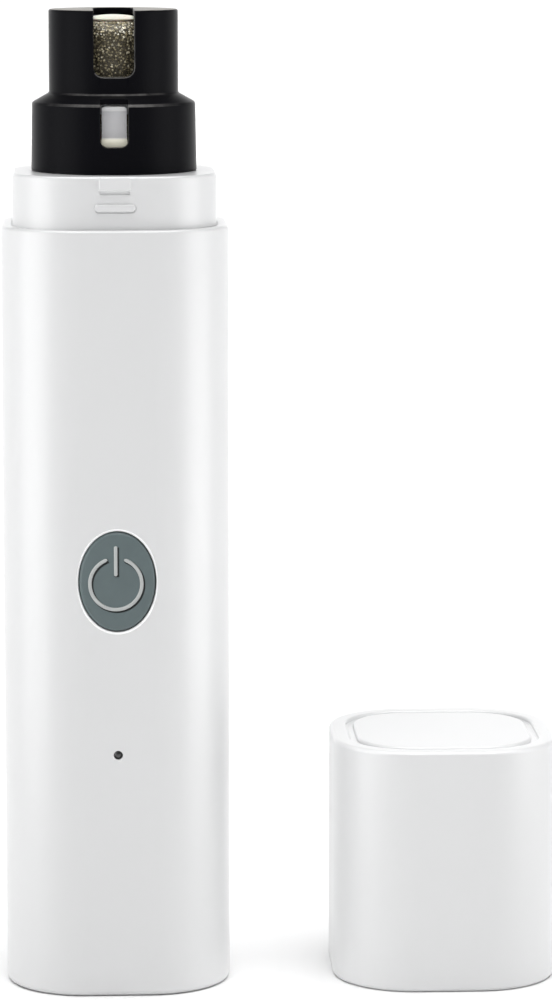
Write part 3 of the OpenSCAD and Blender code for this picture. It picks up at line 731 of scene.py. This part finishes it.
HIGHLIGHT_DEPTH = 0.17*MM  # how far inside the tier's radius a face still gets the painted edge highlight
HIGHLIGHT_BAND = 0.3*MM  # width of the painted highlight round the port
HIGHLIGHT_TOP = GUARD_HI.z - 2.2*MM
HIGHLIGHT_LEAST = 0.05


def cut_wall_slot(made, outline, wall_r, lip, inside_y):
    """Slot through the guard's front wall. outline(offset) grows with offset, for the rounded lip."""
    def ring(offset, radius=None, y=None):
        points = []
        for x, z in outline(offset):
            depth = y if y is not None else -math.sqrt(radius**2 - x*x)
            points.append((x, depth, z))
        return points

    rings = [ring(0, y=inside_y)]
    for offset, depth in lip_steps(lip, LIP_FACETS, LIP_SWEEP):
        rings.append(ring(offset, radius=wall_r - depth))
    rings += [ring(lip, radius=wall_r + HAIR), ring(lip, y=SLOT_FRONT)]
    combine(made, loft("slot", rings))


def cut_roof_slot(made):
    """Carries the port on through the roof, back to a rounded end."""
    top = GUARD_HI.z
    steps = [(0, top - ROOF - 0.2*MM)]
    steps += [(offset, top - depth) for offset, depth in lip_steps(PORT_LIP, LIP_FACETS, LIP_SWEEP)]
    steps += [(PORT_LIP, top + HAIR), (PORT_LIP, top + MM)]
    front = -12*MM
    rings = []
    for offset, z in steps:
        half = PORT_HALF + offset
        ring = [(x, y, z) for x, y in arc(0, PORT_BACK, half, 0, 180, 24)]
        rings.append(ring + [(-half, front, z), (half, front, z)])
    combine(made, loft("roof_slot", rings))


def edge_highlight_strength(face):
    """How strong a guard face's painted edge highlight is: the port's right and lower rim most, then the
    creases.
    """
    centre, normal = face.center, face.normal
    outwards = Vector((centre.x, centre.y, 0)).normalized()
    radial = outwards.dot(normal)
    outer = math.hypot(centre.x, centre.y) > TIER_R - HIGHLIGHT_DEPTH
    sloped = 0.15 < abs(normal.z) < 0.86 and radial > 0.1
    upright = abs(normal.z) <= 0.15 and 0.2 < radial < 0.96
    if not outer or not (sloped or upright):
        return 0.0
    if abs(centre.x) < PORT_HALF + HIGHLIGHT_BAND and centre.z > PORT_Z - HIGHLIGHT_BAND:
        highlighted = centre.x > 0 or centre.z < PORT_Z + 0.5*MM
        return 1.0 if highlighted and centre.z < HIGHLIGHT_TOP else HIGHLIGHT_LEAST
    if sloped and SHOULDER_Z - MM < centre.z < SHOULDER_TOP + 0.5*MM:
        return max(0.08, (-outwards.y - 0.55)/0.45)
    return HIGHLIGHT_LEAST


def build_guard():
    """Two-tier guard, open below, with the nail port and the latch's window in its front wall."""
    low, top = GUARD_LO.z, GUARD_HI.z
    profile = arc(GUARD_HI.x - SKIRT_ROUND, low + SKIRT_ROUND, SKIRT_ROUND, 270, 360, 3)
    profile += arc(SKIRT_R - SHOULDER_ROUND, SHOULDER_Z - SHOULDER_ROUND, SHOULDER_ROUND, 0, 62, 6)
    profile += arc(TIER_R + CREASE_ROUND, SHOULDER_TOP + 0.2*MM, CREASE_ROUND, 248, 180, 6)
    profile += arc(TIER_R - TOP_ROUND, top - TOP_ROUND, TOP_ROUND, 0, 90, 6)
    profile += [(ROOF_EYE, top), (ROOF_EYE, top - ROOF), (TIER_BORE, top - ROOF)]
    profile += [(TIER_BORE, TIER_BORE_LOW), (SKIRT_BORE, TIER_BORE_LOW), (SKIRT_BORE, low)]
    made = turned("guard", profile)

    def port(offset):
        return rounded_slot(PORT_HALF + offset, PORT_Z - offset, PORT_CORNER + offset, top + MM)

    def latch_window(offset):
        return rounded_slot(WINDOW_HALF + offset, WINDOW_LOW - offset, WINDOW_CORNER + offset, WINDOW_TOP)

    cut_wall_slot(made, port, TIER_R, PORT_LIP, PORT_INSIDE)
    cut_wall_slot(made, latch_window, SKIRT_R, WINDOW_LIP, WINDOW_INSIDE)
    cut_roof_slot(made)
    # the rim attribute holds the painted edge highlights
    mark_faces(made, edge_highlight_strength)
    return finish_piece(made, "guard", "black_satin", BLACK, "head_guard")


# ---------- drum ----------

DRUM_ROUND = 2.0*MM
DRUM_EDGE = 0.1*MM
DRUM_INNER = 5.35*MM
DRUM_EYE = 2.6*MM  # radius of the hole in its top
DRUM_TOP_WALL = 0.5*MM
PLATING_DEPTH = 0.24*MM  # from the grains' outermost corners to the metal
GRAIN_STEP = 0.34*MM  # between grains
GRAIN_JITTER = (-0.45, 0.45)  # in steps
GRAIN_SIZE = (0.18, 0.265)  # centre to corner, in mm
GRAIN_SQUASH = (0.8, 1.0)
GRAIN_SUNK = 0.03*MM
GRAIN_SEED = 11
GRAIN_CORNERS = [(1, 0, 0), (-1, 0, 0), (0, 1, 0), (0, -1, 0), (0, 0, 1), (0, 0, -1)]
GRAIN_SIDES = [(0, 2, 4), (2, 1, 4), (1, 3, 4), (3, 0, 4), (2, 0, 5), (1, 2, 5), (3, 1, 5), (0, 3, 5)]


def drum_outline(distance, radius, low, top):
    """(r, z, normal angle) at a distance along the drum's side and rounded upper edge."""
    straight = top - DRUM_ROUND - low
    if distance <= straight:
        return radius, low + distance, 0.0
    angle = min((distance - straight)/DRUM_ROUND, math.pi/2)
    return radius - DRUM_ROUND*(1 - math.cos(angle)), top - DRUM_ROUND*(1 - math.sin(angle)), angle


def build_grit(radius, low, top):
    """Every grain of the abrasive as a small faceted crystal, with a painted highlight: paler over the
    rounded edge.
    """
    rng = random.Random(GRAIN_SEED)
    vertices, faces, tones = [], [], []
    length = top - DRUM_ROUND - low + DRUM_ROUND*math.pi/2
    rows = int(length/GRAIN_STEP)
    corners = [Vector(v) for v in GRAIN_CORNERS]
    for row in range(rows):
        ring_r = drum_outline((row + 0.5)*length/rows, radius, low, top)[0]
        count = max(8, int(2*math.pi*ring_r/GRAIN_STEP))
        for k in range(count):
            distance = (row + 0.5 + rng.uniform(*GRAIN_JITTER))*length/rows
            around_z = 2*math.pi*(k + rng.uniform(*GRAIN_JITTER) + 0.5*(row % 2))/count
            size = rng.uniform(*GRAIN_SIZE)*MM
            turn = Euler([rng.uniform(0, math.pi) for _ in range(3)])
            squash = Vector([rng.uniform(*GRAIN_SQUASH) for _ in range(3)])
            r, z, slope = drum_outline(distance, radius, low, top)
            # painted highlight: grains on the rounded shoulder are paler, where light from above falls
            shoulder_highlight = min(slope/0.25, 1.0)
            tone = rng.random()**(1.3 - 0.7*shoulder_highlight)*(0.85 - 0.2*shoulder_highlight) + 0.06 + 0.3*shoulder_highlight
            sunk = r - GRAIN_SUNK
            centre = Vector((sunk*math.cos(around_z), sunk*math.sin(around_z), z - GRAIN_SUNK*shoulder_highlight))
            start = len(vertices)
            for corner in corners:
                point = Vector([c*q*size for c, q in zip(corner, squash)])
                point.rotate(turn)
                vertices.append(centre + point)
                tones.append(tone)
            faces += [tuple(start + i for i in side) for side in GRAIN_SIDES]
    grains = bpy.data.meshes.new("grains")
    grains.from_pydata(vertices, [], faces)
    attribute = grains.attributes.new("grain", "FLOAT", "POINT")
    attribute.data.foreach_set("value", tones)
    finish_piece(in_scene("grit", grains), "spindle", "drum_grit", GRIT, crease=None)


def build_drum():
    """Thin metal sleeve with a rounded upper edge, and its grit."""
    low = DRUM_LO.z
    outer = DRUM_HI.x - PLATING_DEPTH
    crown = DRUM_HI.z - PLATING_DEPTH
    under = crown - DRUM_TOP_WALL
    profile = [(DRUM_INNER + DRUM_EDGE, low), (outer - DRUM_EDGE, low), (outer, low + DRUM_EDGE)]
    profile += arc(outer - DRUM_ROUND, crown - DRUM_ROUND, DRUM_ROUND, 0, 90, 10)
    profile += [(DRUM_EYE, crown), (DRUM_EYE, under), (DRUM_INNER, under - MM), (DRUM_INNER, low)]
    made = turned("drum", profile, DRUM_STEPS)
    smooth_shading(made, 40)
    finish_piece(made, "spindle", "drum_grit", GRIT, "grinding_drum", crease=None)
    build_grit(outer, low, crown)


def build_dome():
    """Domed cap on the drum, with a narrow undercut that reads as a shadow line."""
    low, top, rim = DRUM_HI.z, DOME_HI.z, DOME_HI.x
    pin, pin_low = 2.55*MM, low - 0.65*MM
    neck, neck_low, neck_top = rim - 0.35*MM, low - 0.05*MM, low + 0.06*MM
    bevel = 0.06*MM
    rise = top - low - 0.2*MM
    sphere = (rim*rim + rise*rise)/(2*rise)  # its radius
    profile = [(pin, pin_low), (pin, neck_low), (neck, neck_low)]
    profile += [(neck, neck_top), (rim - bevel, neck_top), (rim, neck_top + bevel)]
    steps = 12
    for i in range(steps):
        r = (rim - 0.03*MM)*(1 - i/steps)
        profile.append((r, top - sphere + math.sqrt(sphere*sphere - r*r)))
    made = turned("dome", profile, DRUM_STEPS, capped=True)
    return finish_piece(made, "spindle", "ivory_plastic", IVORY, "drum_cap", crease=50)


STEM_R = 2.8*MM
STEM_TOP = 118.1*MM
STEM_GROOVES = [112.6 + 1.1*k for k in range(3)]  # heights of their middles, in mm
STEM_GROOVE_DEPTH = 0.25*MM
STEM_GROOVE_HALF = (0.12*MM, 0.25*MM)  # half its width at the floor and at the mouth
HUB_BORE = 1.01*MM
HUB_STEP = 0.3*MM
HUB_EDGE, HUB_BEVEL = 0.15*MM, 0.8*MM


def build_hub():
    """Hub inside the drum, with the stem that shows when the guard is off."""
    low, top, body = HUB_LO.z, HUB_HI.z, HUB_HI.x
    narrow, wide = STEM_GROOVE_HALF
    floor_r = STEM_R - STEM_GROOVE_DEPTH
    shelf = STEM_TOP + HUB_STEP
    profile = [(STEM_R - BREAK, low), (STEM_R, low + BREAK)]
    for middle in STEM_GROOVES:
        z = middle*MM
        profile += [(STEM_R, z - wide), (floor_r, z - narrow), (floor_r, z + narrow), (STEM_R, z + wide)]
    profile += [(STEM_R, STEM_TOP), (STEM_R + HUB_STEP, shelf), (body - HUB_EDGE, shelf)]
    profile += [(body, shelf + HUB_EDGE), (body, top - HUB_BEVEL), (body - HUB_BEVEL, top)]
    profile += [(HUB_BORE, top), (HUB_BORE, low)]
    made = turned("hub", profile, DRUM_STEPS)
    return finish_piece(made, "spindle", "ivory_plastic", IVORY, "drum_hub")


# ---------- button and light ----------

FACE_RIM = -(HALF + 0.06*MM)  # Y of the button's face at its edge
FACE_MID = -(HALF + 0.2*MM)  # and in the middle


def button_face(x, z):
    """Y of the button's slightly crowned face; z from the button's centre."""
    away = (x/BUTTON_A)**2 + (z/BUTTON_B)**2
    return FACE_MID + (FACE_RIM - FACE_MID)*min(away, 1.0)


ICON_X, ICON_Z = -0.2*MM, -0.25*MM  # the mark's centre, from the button's
ICON_R = 3.4*MM
ICON_GAP = 19  # degrees open on each side of the bar
ICON_BAR = (1.05, 1.2, 2.0, 3.0, 4.0, 4.85, 5.0)  # heights of its points, in mm
ICON_LINE = 0.46*MM
ICON_CROWN = [(-0.5, 0.0), (-0.42, 0.06), (-0.24, 0.1), (0.0, 0.115)]  # (offset in widths, rise in mm)
ICON_END_RISE = 0.04*MM
ICON_ROOT = 0.04*MM  # how far it is sunk into its groove's floor
GROOVE_LINE = 0.62*MM
GROOVE_SHIFT = 0.15*MM
GROOVE_DEPTH = 0.25*MM


def icon_paths(shift=0.0):
    """The ring and the bar of the mark as (x, z) paths, moved right and down by shift."""
    x, z = ICON_X + shift, ICON_Z - shift
    ring = arc(x, z, ICON_R, 90 + ICON_GAP, 450 - ICON_GAP, 72)
    bar = [(x, z + height*MM) for height in ICON_BAR]
    return ring, bar


def stroke(name, path, width, across, end_rise=None):
    """Sweeps (offset in widths, rise) points along a path on the button's face."""
    rings = []
    for i, (x, z) in enumerate(path):
        ahead = Vector(path[min(i + 1, len(path) - 1)]) - Vector(path[max(i - 1, 0)])
        side = Vector((ahead.y, -ahead.x)).normalized()*width
        at_end = i in (0, len(path) - 1)
        ring = []
        for offset, rise in across:
            if at_end and end_rise is not None:
                px, pz = x + side.x*offset*0.5, z + side.y*offset*0.5
                lift = min(rise, end_rise)
            else:
                px, pz = x + side.x*offset, z + side.y*offset
                lift = rise
            ring.append((px, button_face(px, pz) - lift, BUTTON_Z + pz))
        rings.append(ring)
    return loft(name, rings)


BUTTON_FLANGE = 1.2*MM  # its hidden rim, wider than the hole
BUTTON_FRONT, BUTTON_BACK = -13.15*MM, -12.35*MM  # Y of the rim's two sides
BUTTON_ROUND = 0.42*MM
PRESSER_R, PRESSER_END = 2*MM, -11.92*MM  # the stub that meets the switch
BUTTON_RINGS = (0.8, 0.6, 0.4, 0.2, 0.05)  # shares of the face's size
GROOVE_SHADE_DEPTH = (0.03*MM, 0.4*MM)


def face_oval(a, b, depth=0.0):
    """Oval ring laid on the button's crowned face, or depth behind it."""
    ring = ellipse_ring(a, b, 0, BUTTON_Z)
    return [(x, button_face(x, z - BUTTON_Z) + depth, z) for x, _, z in ring]


def build_button():
    wide_a, wide_b = BUTTON_A + BUTTON_FLANGE, BUTTON_B + BUTTON_FLANGE
    ovals = [(PRESSER_R, PRESSER_R, PRESSER_END), (PRESSER_R, PRESSER_R, BUTTON_BACK)]
    ovals += [(wide_a, wide_b, BUTTON_BACK), (wide_a, wide_b, BUTTON_FRONT)]
    ovals += [(BUTTON_A, BUTTON_B, BUTTON_FRONT)]
    rings = [ellipse_ring(a, b, y, BUTTON_Z) for a, b, y in ovals]
    for inset, depth in arc(BUTTON_ROUND, BUTTON_ROUND, BUTTON_ROUND, 180, 270, 7):
        rings.append(face_oval(BUTTON_A - inset, BUTTON_B - inset, depth))
    rings += [face_oval(BUTTON_A*share, BUTTON_B*share) for share in BUTTON_RINGS]
    made = loft("button", rings)
    proud = 0.4*MM
    square = [(-0.5, -GROOVE_DEPTH), (-0.5, proud), (0.5, proud), (0.5, -GROOVE_DEPTH)]
    for path in icon_paths(GROOVE_SHIFT):
        combine(made, stroke("groove", path, GROOVE_LINE, square))

    # marks the groove's faces for painted shade
    def groove_shade(face):
        x, z = face.center.x, face.center.z - BUTTON_Z
        depth = face.center.y - button_face(x, z)
        within = math.hypot(x/BUTTON_A, z/BUTTON_B) < 0.85
        least, most = GROOVE_SHADE_DEPTH
        return 1.0 if within and least < depth < most else 0.0

    mark_faces(made, groove_shade)
    return finish_piece(made, "button", "button_grey", BUTTON, "power_button", crease=45)


def build_icon():
    """Generic standby mark: an open ring with a bar in its gap, raised out of its groove."""
    across = [(-0.5, -GROOVE_DEPTH - ICON_ROOT)]
    across += [(offset, rise*MM) for offset, rise in ICON_CROWN]
    across += [(-offset, rise) for offset, rise in reversed(across[:-1])]
    ring, bar = icon_paths()
    made = stroke("icon", ring, ICON_LINE, across, ICON_END_RISE)
    combine(made, stroke("icon_bar", bar, ICON_LINE, across, ICON_END_RISE), "UNION")
    return finish_piece(made, "button", "icon_grey", ICON, "button_icon", crease=50)


LENS_R = 0.55*MM
LENS_DOME = [(0.02, 0.0), (0.3, 0.05), (0.48, 0.15)]  # (radius, depth) in mm
LENS_DOME_DEPTH = 0.3*MM
LENS_RING_R = MM
LENS_RING_Y = (-13.2*MM, -12.6*MM)


def build_lens():
    """Light pipe: a domed end just inside its hole, a retaining ring and a straight shank."""
    front, back = LENS_LO.y, LENS_HI.y
    ring_front, ring_back = LENS_RING_Y
    outline = [(radius*MM, front + depth*MM) for radius, depth in LENS_DOME]
    outline += [(LENS_R, front + LENS_DOME_DEPTH), (LENS_R, ring_front), (LENS_RING_R, ring_front)]
    outline += [(LENS_RING_R, ring_back), (LENS_R, ring_back), (LENS_R, back)]
    rings = [ellipse_ring(r, r, y, LENS_Z, 32) for r, y in outline]
    made = loft("lens", rings)
    return finish_piece(made, "handle", "smoked_lens", LENS, "light_pipe", crease=40)


# ---------- base plug ----------

PLUG_ROUND = 0.25*MM
MOUTH_Y = -6.9*MM  # the charging opening
MOUTH_HALF = (4.3*MM, 1.85*MM)
MOUTH_CORNER = 0.8*MM
MOUTH_FLARE = 0.25*MM
SCREW_X, SCREW_Y = 8.4*MM, 2.8*MM
SCREW_RECESS = [(2.2, -1), (2.2, -0.01), (2.0, 0.2), (2.0, 1.4), (1.1, 1.4), (1.1, 8)]  # (radius, z), mm


def mouth_ring(grow, z):
    """Rounded rectangle of the charging opening, from above."""
    half_w, half_h = MOUTH_HALF
    points = []
    for sx, sy, start in ((1, 1, 0), (-1, 1, 90), (-1, -1, 180), (1, -1, 270)):
        cx = sx*(half_w + grow - MOUTH_CORNER)
        cy = MOUTH_Y + sy*(half_h + grow - MOUTH_CORNER)
        points += arc(cx, cy, MOUTH_CORNER, start, start + 90, 5)
    return [(x, y, z) for x, y in points]


def build_plug():
    """Foot plug with the charging opening and two recesses for its screws."""
    low, top = PLUG_LO.z, PLUG_HI.z
    step = HALF - PLUG_HALF
    flange = HALF - PLUG_HI.x
    flange_z = SLEEVE_FLOOR + 0.05*MM
    profile = arc(step + PLUG_ROUND, low + PLUG_ROUND, PLUG_ROUND, 270, 180, 4)
    profile += [(step, flange_z), (flange, flange_z), (flange, top)]
    made = section_loft("plug", profile, capped=True)
    flare_low = low - 0.01*MM
    rings = [mouth_ring(MOUTH_FLARE, low - MM), mouth_ring(MOUTH_FLARE, flare_low),
             mouth_ring(0, flare_low + MOUTH_FLARE), mouth_ring(0, top + MM)]
    combine(made, loft("mouth", rings))
    for side in (-1, 1):
        tool = turned("screw_hole", [(r*MM, low + z*MM) for r, z in SCREW_RECESS], 48, capped=True)
        tool.data.transform(Matrix.Translation((side*SCREW_X, SCREW_Y, 0)))
        combine(made, tool)
    return finish_piece(made, "handle", "plug_plastic", PLUG, "base_plug")


# ---------- travel cap ----------

CAP_WALL, CAP_ROOF = 1.45*MM, 2*MM
CAP_ROUND, CAP_FOOT = 0.6*MM, 0.6*MM  # rounding of the upper and the lower edge
CAP_MOUTH = 0.25*MM  # chamfer inside the lower edge
CAP_INNER_ROUND = 0.8*MM
GROOVE_HALF = 12.7*MM  # half the outer width of the groove round the plate
GROOVE_WALL_TOP = 32.25*MM
GROOVE_LIP = 0.4*MM
CHANNEL_HALF = 3.4*MM  # the channel that clears the collar's catch
CHANNEL_DEPTH = (0.85*MM, 4*MM)  # from the cap's front
CHANNEL_TOP = 7.4*MM
PLATE_ROUND = 0.4*MM


def build_cap():
    """Hollow travel cap with a groove round its top plate and a channel inside its front wall."""
    low, top = CAP_LO.z, CAP_HI.z
    groove = HALF - GROOVE_HALF
    groove_floor = PLATE_LO.z
    inside = top - CAP_ROOF
    profile = [(INNERMOST, groove_floor), (groove + BREAK, groove_floor), (groove, low + GROOVE_WALL_TOP)]
    profile += arc(groove - GROOVE_LIP, top - GROOVE_LIP, GROOVE_LIP, 0, 90, 4)
    profile += arc(CAP_ROUND, top - CAP_ROUND, CAP_ROUND, 90, 180, 7)
    profile += arc(CAP_FOOT, low + CAP_FOOT, CAP_FOOT, 180, 270, 6)
    profile += [(CAP_WALL - CAP_MOUTH, low), (CAP_WALL, low + CAP_MOUTH)]
    profile += arc(CAP_WALL + CAP_INNER_ROUND, inside - CAP_INNER_ROUND, CAP_INNER_ROUND, 180, 90, 5)
    profile += [(INNERMOST, inside)]
    made = section_loft("cap", profile, CAP_X, capped=True)
    channel_y = [-HALF + depth for depth in CHANNEL_DEPTH]
    combine(made, box_object("channel", CAP_X, CHANNEL_HALF, channel_y, (low - MM, low + CHANNEL_TOP)))
    return finish_piece(made, "cap", "white_gloss", WHITE, "cap_shell")


def build_plate():
    """Plate set in the cap's top, inside the groove."""
    low, top = PLATE_LO.z, PLATE_HI.z
    step = HALF - (PLATE_HI.x - PLATE_LO.x)/2
    profile = [(step, low)]
    profile += arc(step + PLATE_ROUND, top - PLATE_ROUND, PLATE_ROUND, 180, 90, 6)
    profile += [(INNERMOST, top)]
    made = section_loft("cap_plate", profile, CAP_X, capped=True)
    return finish_piece(made, "cap", "white_gloss", WHITE, "cap_top_plate")


# ---------- CAD nodes that keep their shape ----------

NODE_MATERIALS = (
    (STEEL, "base_screws", "frame_screws", "board_screws", "charge_socket", "battery_tabs", "motor_shaft"),
    (FRAME, "frame_front", "frame_rear", "motor_end_bell"),
    (EPOXY, "board_parts", "socket_tongue", "switch_body", "switch_plunger"),
    (COPPER, "motor_brushes", "motor_terminals", "motor_commutator"),
    (RED_WIRE, "wire_motor_red", "wire_battery_red"),
    (BLACK_WIRE, "wire_motor_black", "wire_battery_black"),
    (LAMINATE, "circuit_board"), (LED, "status_led"), (WRAP, "battery_cell"), (CAN, "motor_can"),
    (MAGNET, "motor_magnets"), (BRONZE, "motor_bushes"), (BLACK_RUBBER, "motor_damper"),
    (FELT, "dust_seal"), (CORE, "motor_armature"), (WINDING, "motor_windings"),
)


def dress_cad_nodes():
    for material, *names in NODE_MATERIALS:
        for name in names:
            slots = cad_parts[name].data.materials
            slots.clear()
            slots.append(material)


# ---------- studio ----------

FLOOR_HALF = 6.0
HORIZON_TOP = 0.09  # height of the bright band, as a direction's Z
HORIZON_GLOW = 0.95
SKY_GLOW = 0.12
SKY_COLOR = (0.98, 0.99, 1.0, 1)

# Lights: degrees round from the front, distance, height, X of the axis they stand round, aim, size
# and glow. A glow of 1 looks as bright as a white wall in full light.
SOFTBOXES = {
    "left_strip": (-70, 0.17, 0.10, 0, (0.015, 0, 0.10), (0.125, 0.20), 1.98),
    "right_strip": (70, 0.17, 0.10, 0.03, (0.015, 0, 0.10), (0.125, 0.20), 1.75),
    "low_strip": (70, 0.12, 0.035, 0, (0, 0, 0.035), (0.09, 0.07), 0.7),
    "gap_strip": (-62, 0.17, 0.10, CAP_X, (CAP_X, 0, 0.10), (0.125, 0.20), 0.9),
    "front_fill": (0, 0.8, 0.68, 0, (0.02, 0, 0.06), (0.9, 0.6), 0.35),
    "rear_panel": (180, 2.2, 0.6, 0, (0, 0, 0.3), (2.4, 0.9), 1.0),
}
SUN_STRENGTH = 3.5
SUN_WIDTH, SUN_TILT = 60, 4  # in degrees

CAMERA_LENS, CAMERA_SENSOR = 147.65, 36  # in mm
CAMERA_PLACE = (-0.0042, -0.5449, 0.1460)
CAMERA_DOWN, CAMERA_RIGHT = 8.512, 2.701  # degrees that it looks down and to the right
CAMERA_CLIP = (0.01, 20)


def build_floor():
    """Wide pale floor."""
    reach = FLOOR_HALF
    corners = [(-reach, -reach, 0), (reach, -reach, 0), (reach, reach, 0), (-reach, reach, 0)]
    floor = make_object("floor", corners, [(0, 1, 2, 3)])
    s = Shader("studio_floor", (0.93, 0.93, 0.93), 0.8)
    s.color(s.ramp(s.noise(0.4), [(0.3, (0.925, 0.925, 0.925)), (0.7, (0.935, 0.935, 0.935))]))
    floor.data.materials.append(s.material)
    return floor


def softbox(name, turn, distance, height, axis_x, aim, size, glow):
    """Rectangular light that faces a point."""
    angle = math.radians(turn)
    place = Vector((axis_x + distance*math.sin(angle), -distance*math.cos(angle), height))
    data = bpy.data.lights.new(name, "AREA")
    data.shape = "RECTANGLE"
    data.size, data.size_y = size
    data.energy = glow*math.pi*size[0]*size[1]
    light = in_scene(name, data)
    light.location = place
    light.rotation_mode = "QUATERNION"
    light.rotation_quaternion = (place - Vector(aim)).to_track_quat("Z", "Y")
    return light


def linked(name, objects, state):
    """Collection for light linking. state is INCLUDE or EXCLUDE."""
    group = bpy.data.collections.new(name)
    for index, member in enumerate(objects):
        group.objects.link(member)
        group.collection_objects[index].light_linking.link_state = state
    return group


def shape_light(light, state, objects, shadowless):
    """Lights only some objects, or all but some, and casts no shadow of the shadowless ones."""
    light.light_linking.receiver_collection = linked(light.name + "_lit", objects, state)
    light.light_linking.blocker_collection = linked(light.name + "_shadowless", shadowless, "EXCLUDE")


def build_lights(floor, handle_pieces, cap_pieces):
    """The strips miss the floor, and the handle and the cap don't shade each other from them."""
    lights = {name: softbox(name, *row) for name, row in SOFTBOXES.items()}
    shape_light(lights["left_strip"], "EXCLUDE", [floor], handle_pieces)
    shape_light(lights["right_strip"], "EXCLUDE", [floor], cap_pieces)
    shape_light(lights["low_strip"], "INCLUDE", handle_pieces, cap_pieces)
    shape_light(lights["gap_strip"], "INCLUDE", cap_pieces, handle_pieces)
    sun = bpy.data.lights.new("overhead", "SUN")
    sun.energy = SUN_STRENGTH
    sun.angle = math.radians(SUN_WIDTH)
    in_scene("overhead", sun).rotation_euler = (math.radians(SUN_TILT), 0, 0)


def build_sky():
    """Dim sky with a bright band at the horizon, so that low views show no dark wall."""
    world = bpy.data.worlds.new("studio")
    bpy.context.scene.world = world
    world.use_nodes = True
    tree = world.node_tree
    background = tree.nodes["Background"]
    background.inputs["Color"].default_value = SKY_COLOR
    direction = add_node(tree, "ShaderNodeTexCoord").outputs["Generated"]
    split = add_node(tree, "ShaderNodeSeparateXYZ")
    band = add_node(tree, "ShaderNodeMapRange", from_min=HORIZON_TOP, from_max=2.5*HORIZON_TOP,
                    to_min=HORIZON_GLOW, to_max=SKY_GLOW)
    tree.links.new(direction, split.inputs["Vector"])
    tree.links.new(split.outputs["Z"], band.inputs["Value"])
    tree.links.new(band.outputs["Result"], background.inputs["Strength"])


def build_camera():
    """Camera a little above the object, looking slightly down and to the right."""
    data = bpy.data.cameras.new("camera")
    data.sensor_width = CAMERA_SENSOR
    data.lens = CAMERA_LENS
    data.clip_start, data.clip_end = CAMERA_CLIP
    camera = in_scene("camera", data)
    camera.location = CAMERA_PLACE
    camera.rotation_euler = (math.radians(90 - CAMERA_DOWN), 0, math.radians(-CAMERA_RIGHT))
    bpy.context.scene.camera = camera


build_camera()
sleeve = build_sleeve()
collar = build_collar()
build_latch()
build_guard()
build_drum()
build_dome()
build_hub()
build_button()
build_icon()
build_lens()
build_plug()
cap = build_cap()
plate = build_plate()
dress_cad_nodes()
build_lights(build_floor(), [sleeve, collar], [cap, plate])
build_sky()
bpy.context.scene.view_settings.view_transform = "Standard"
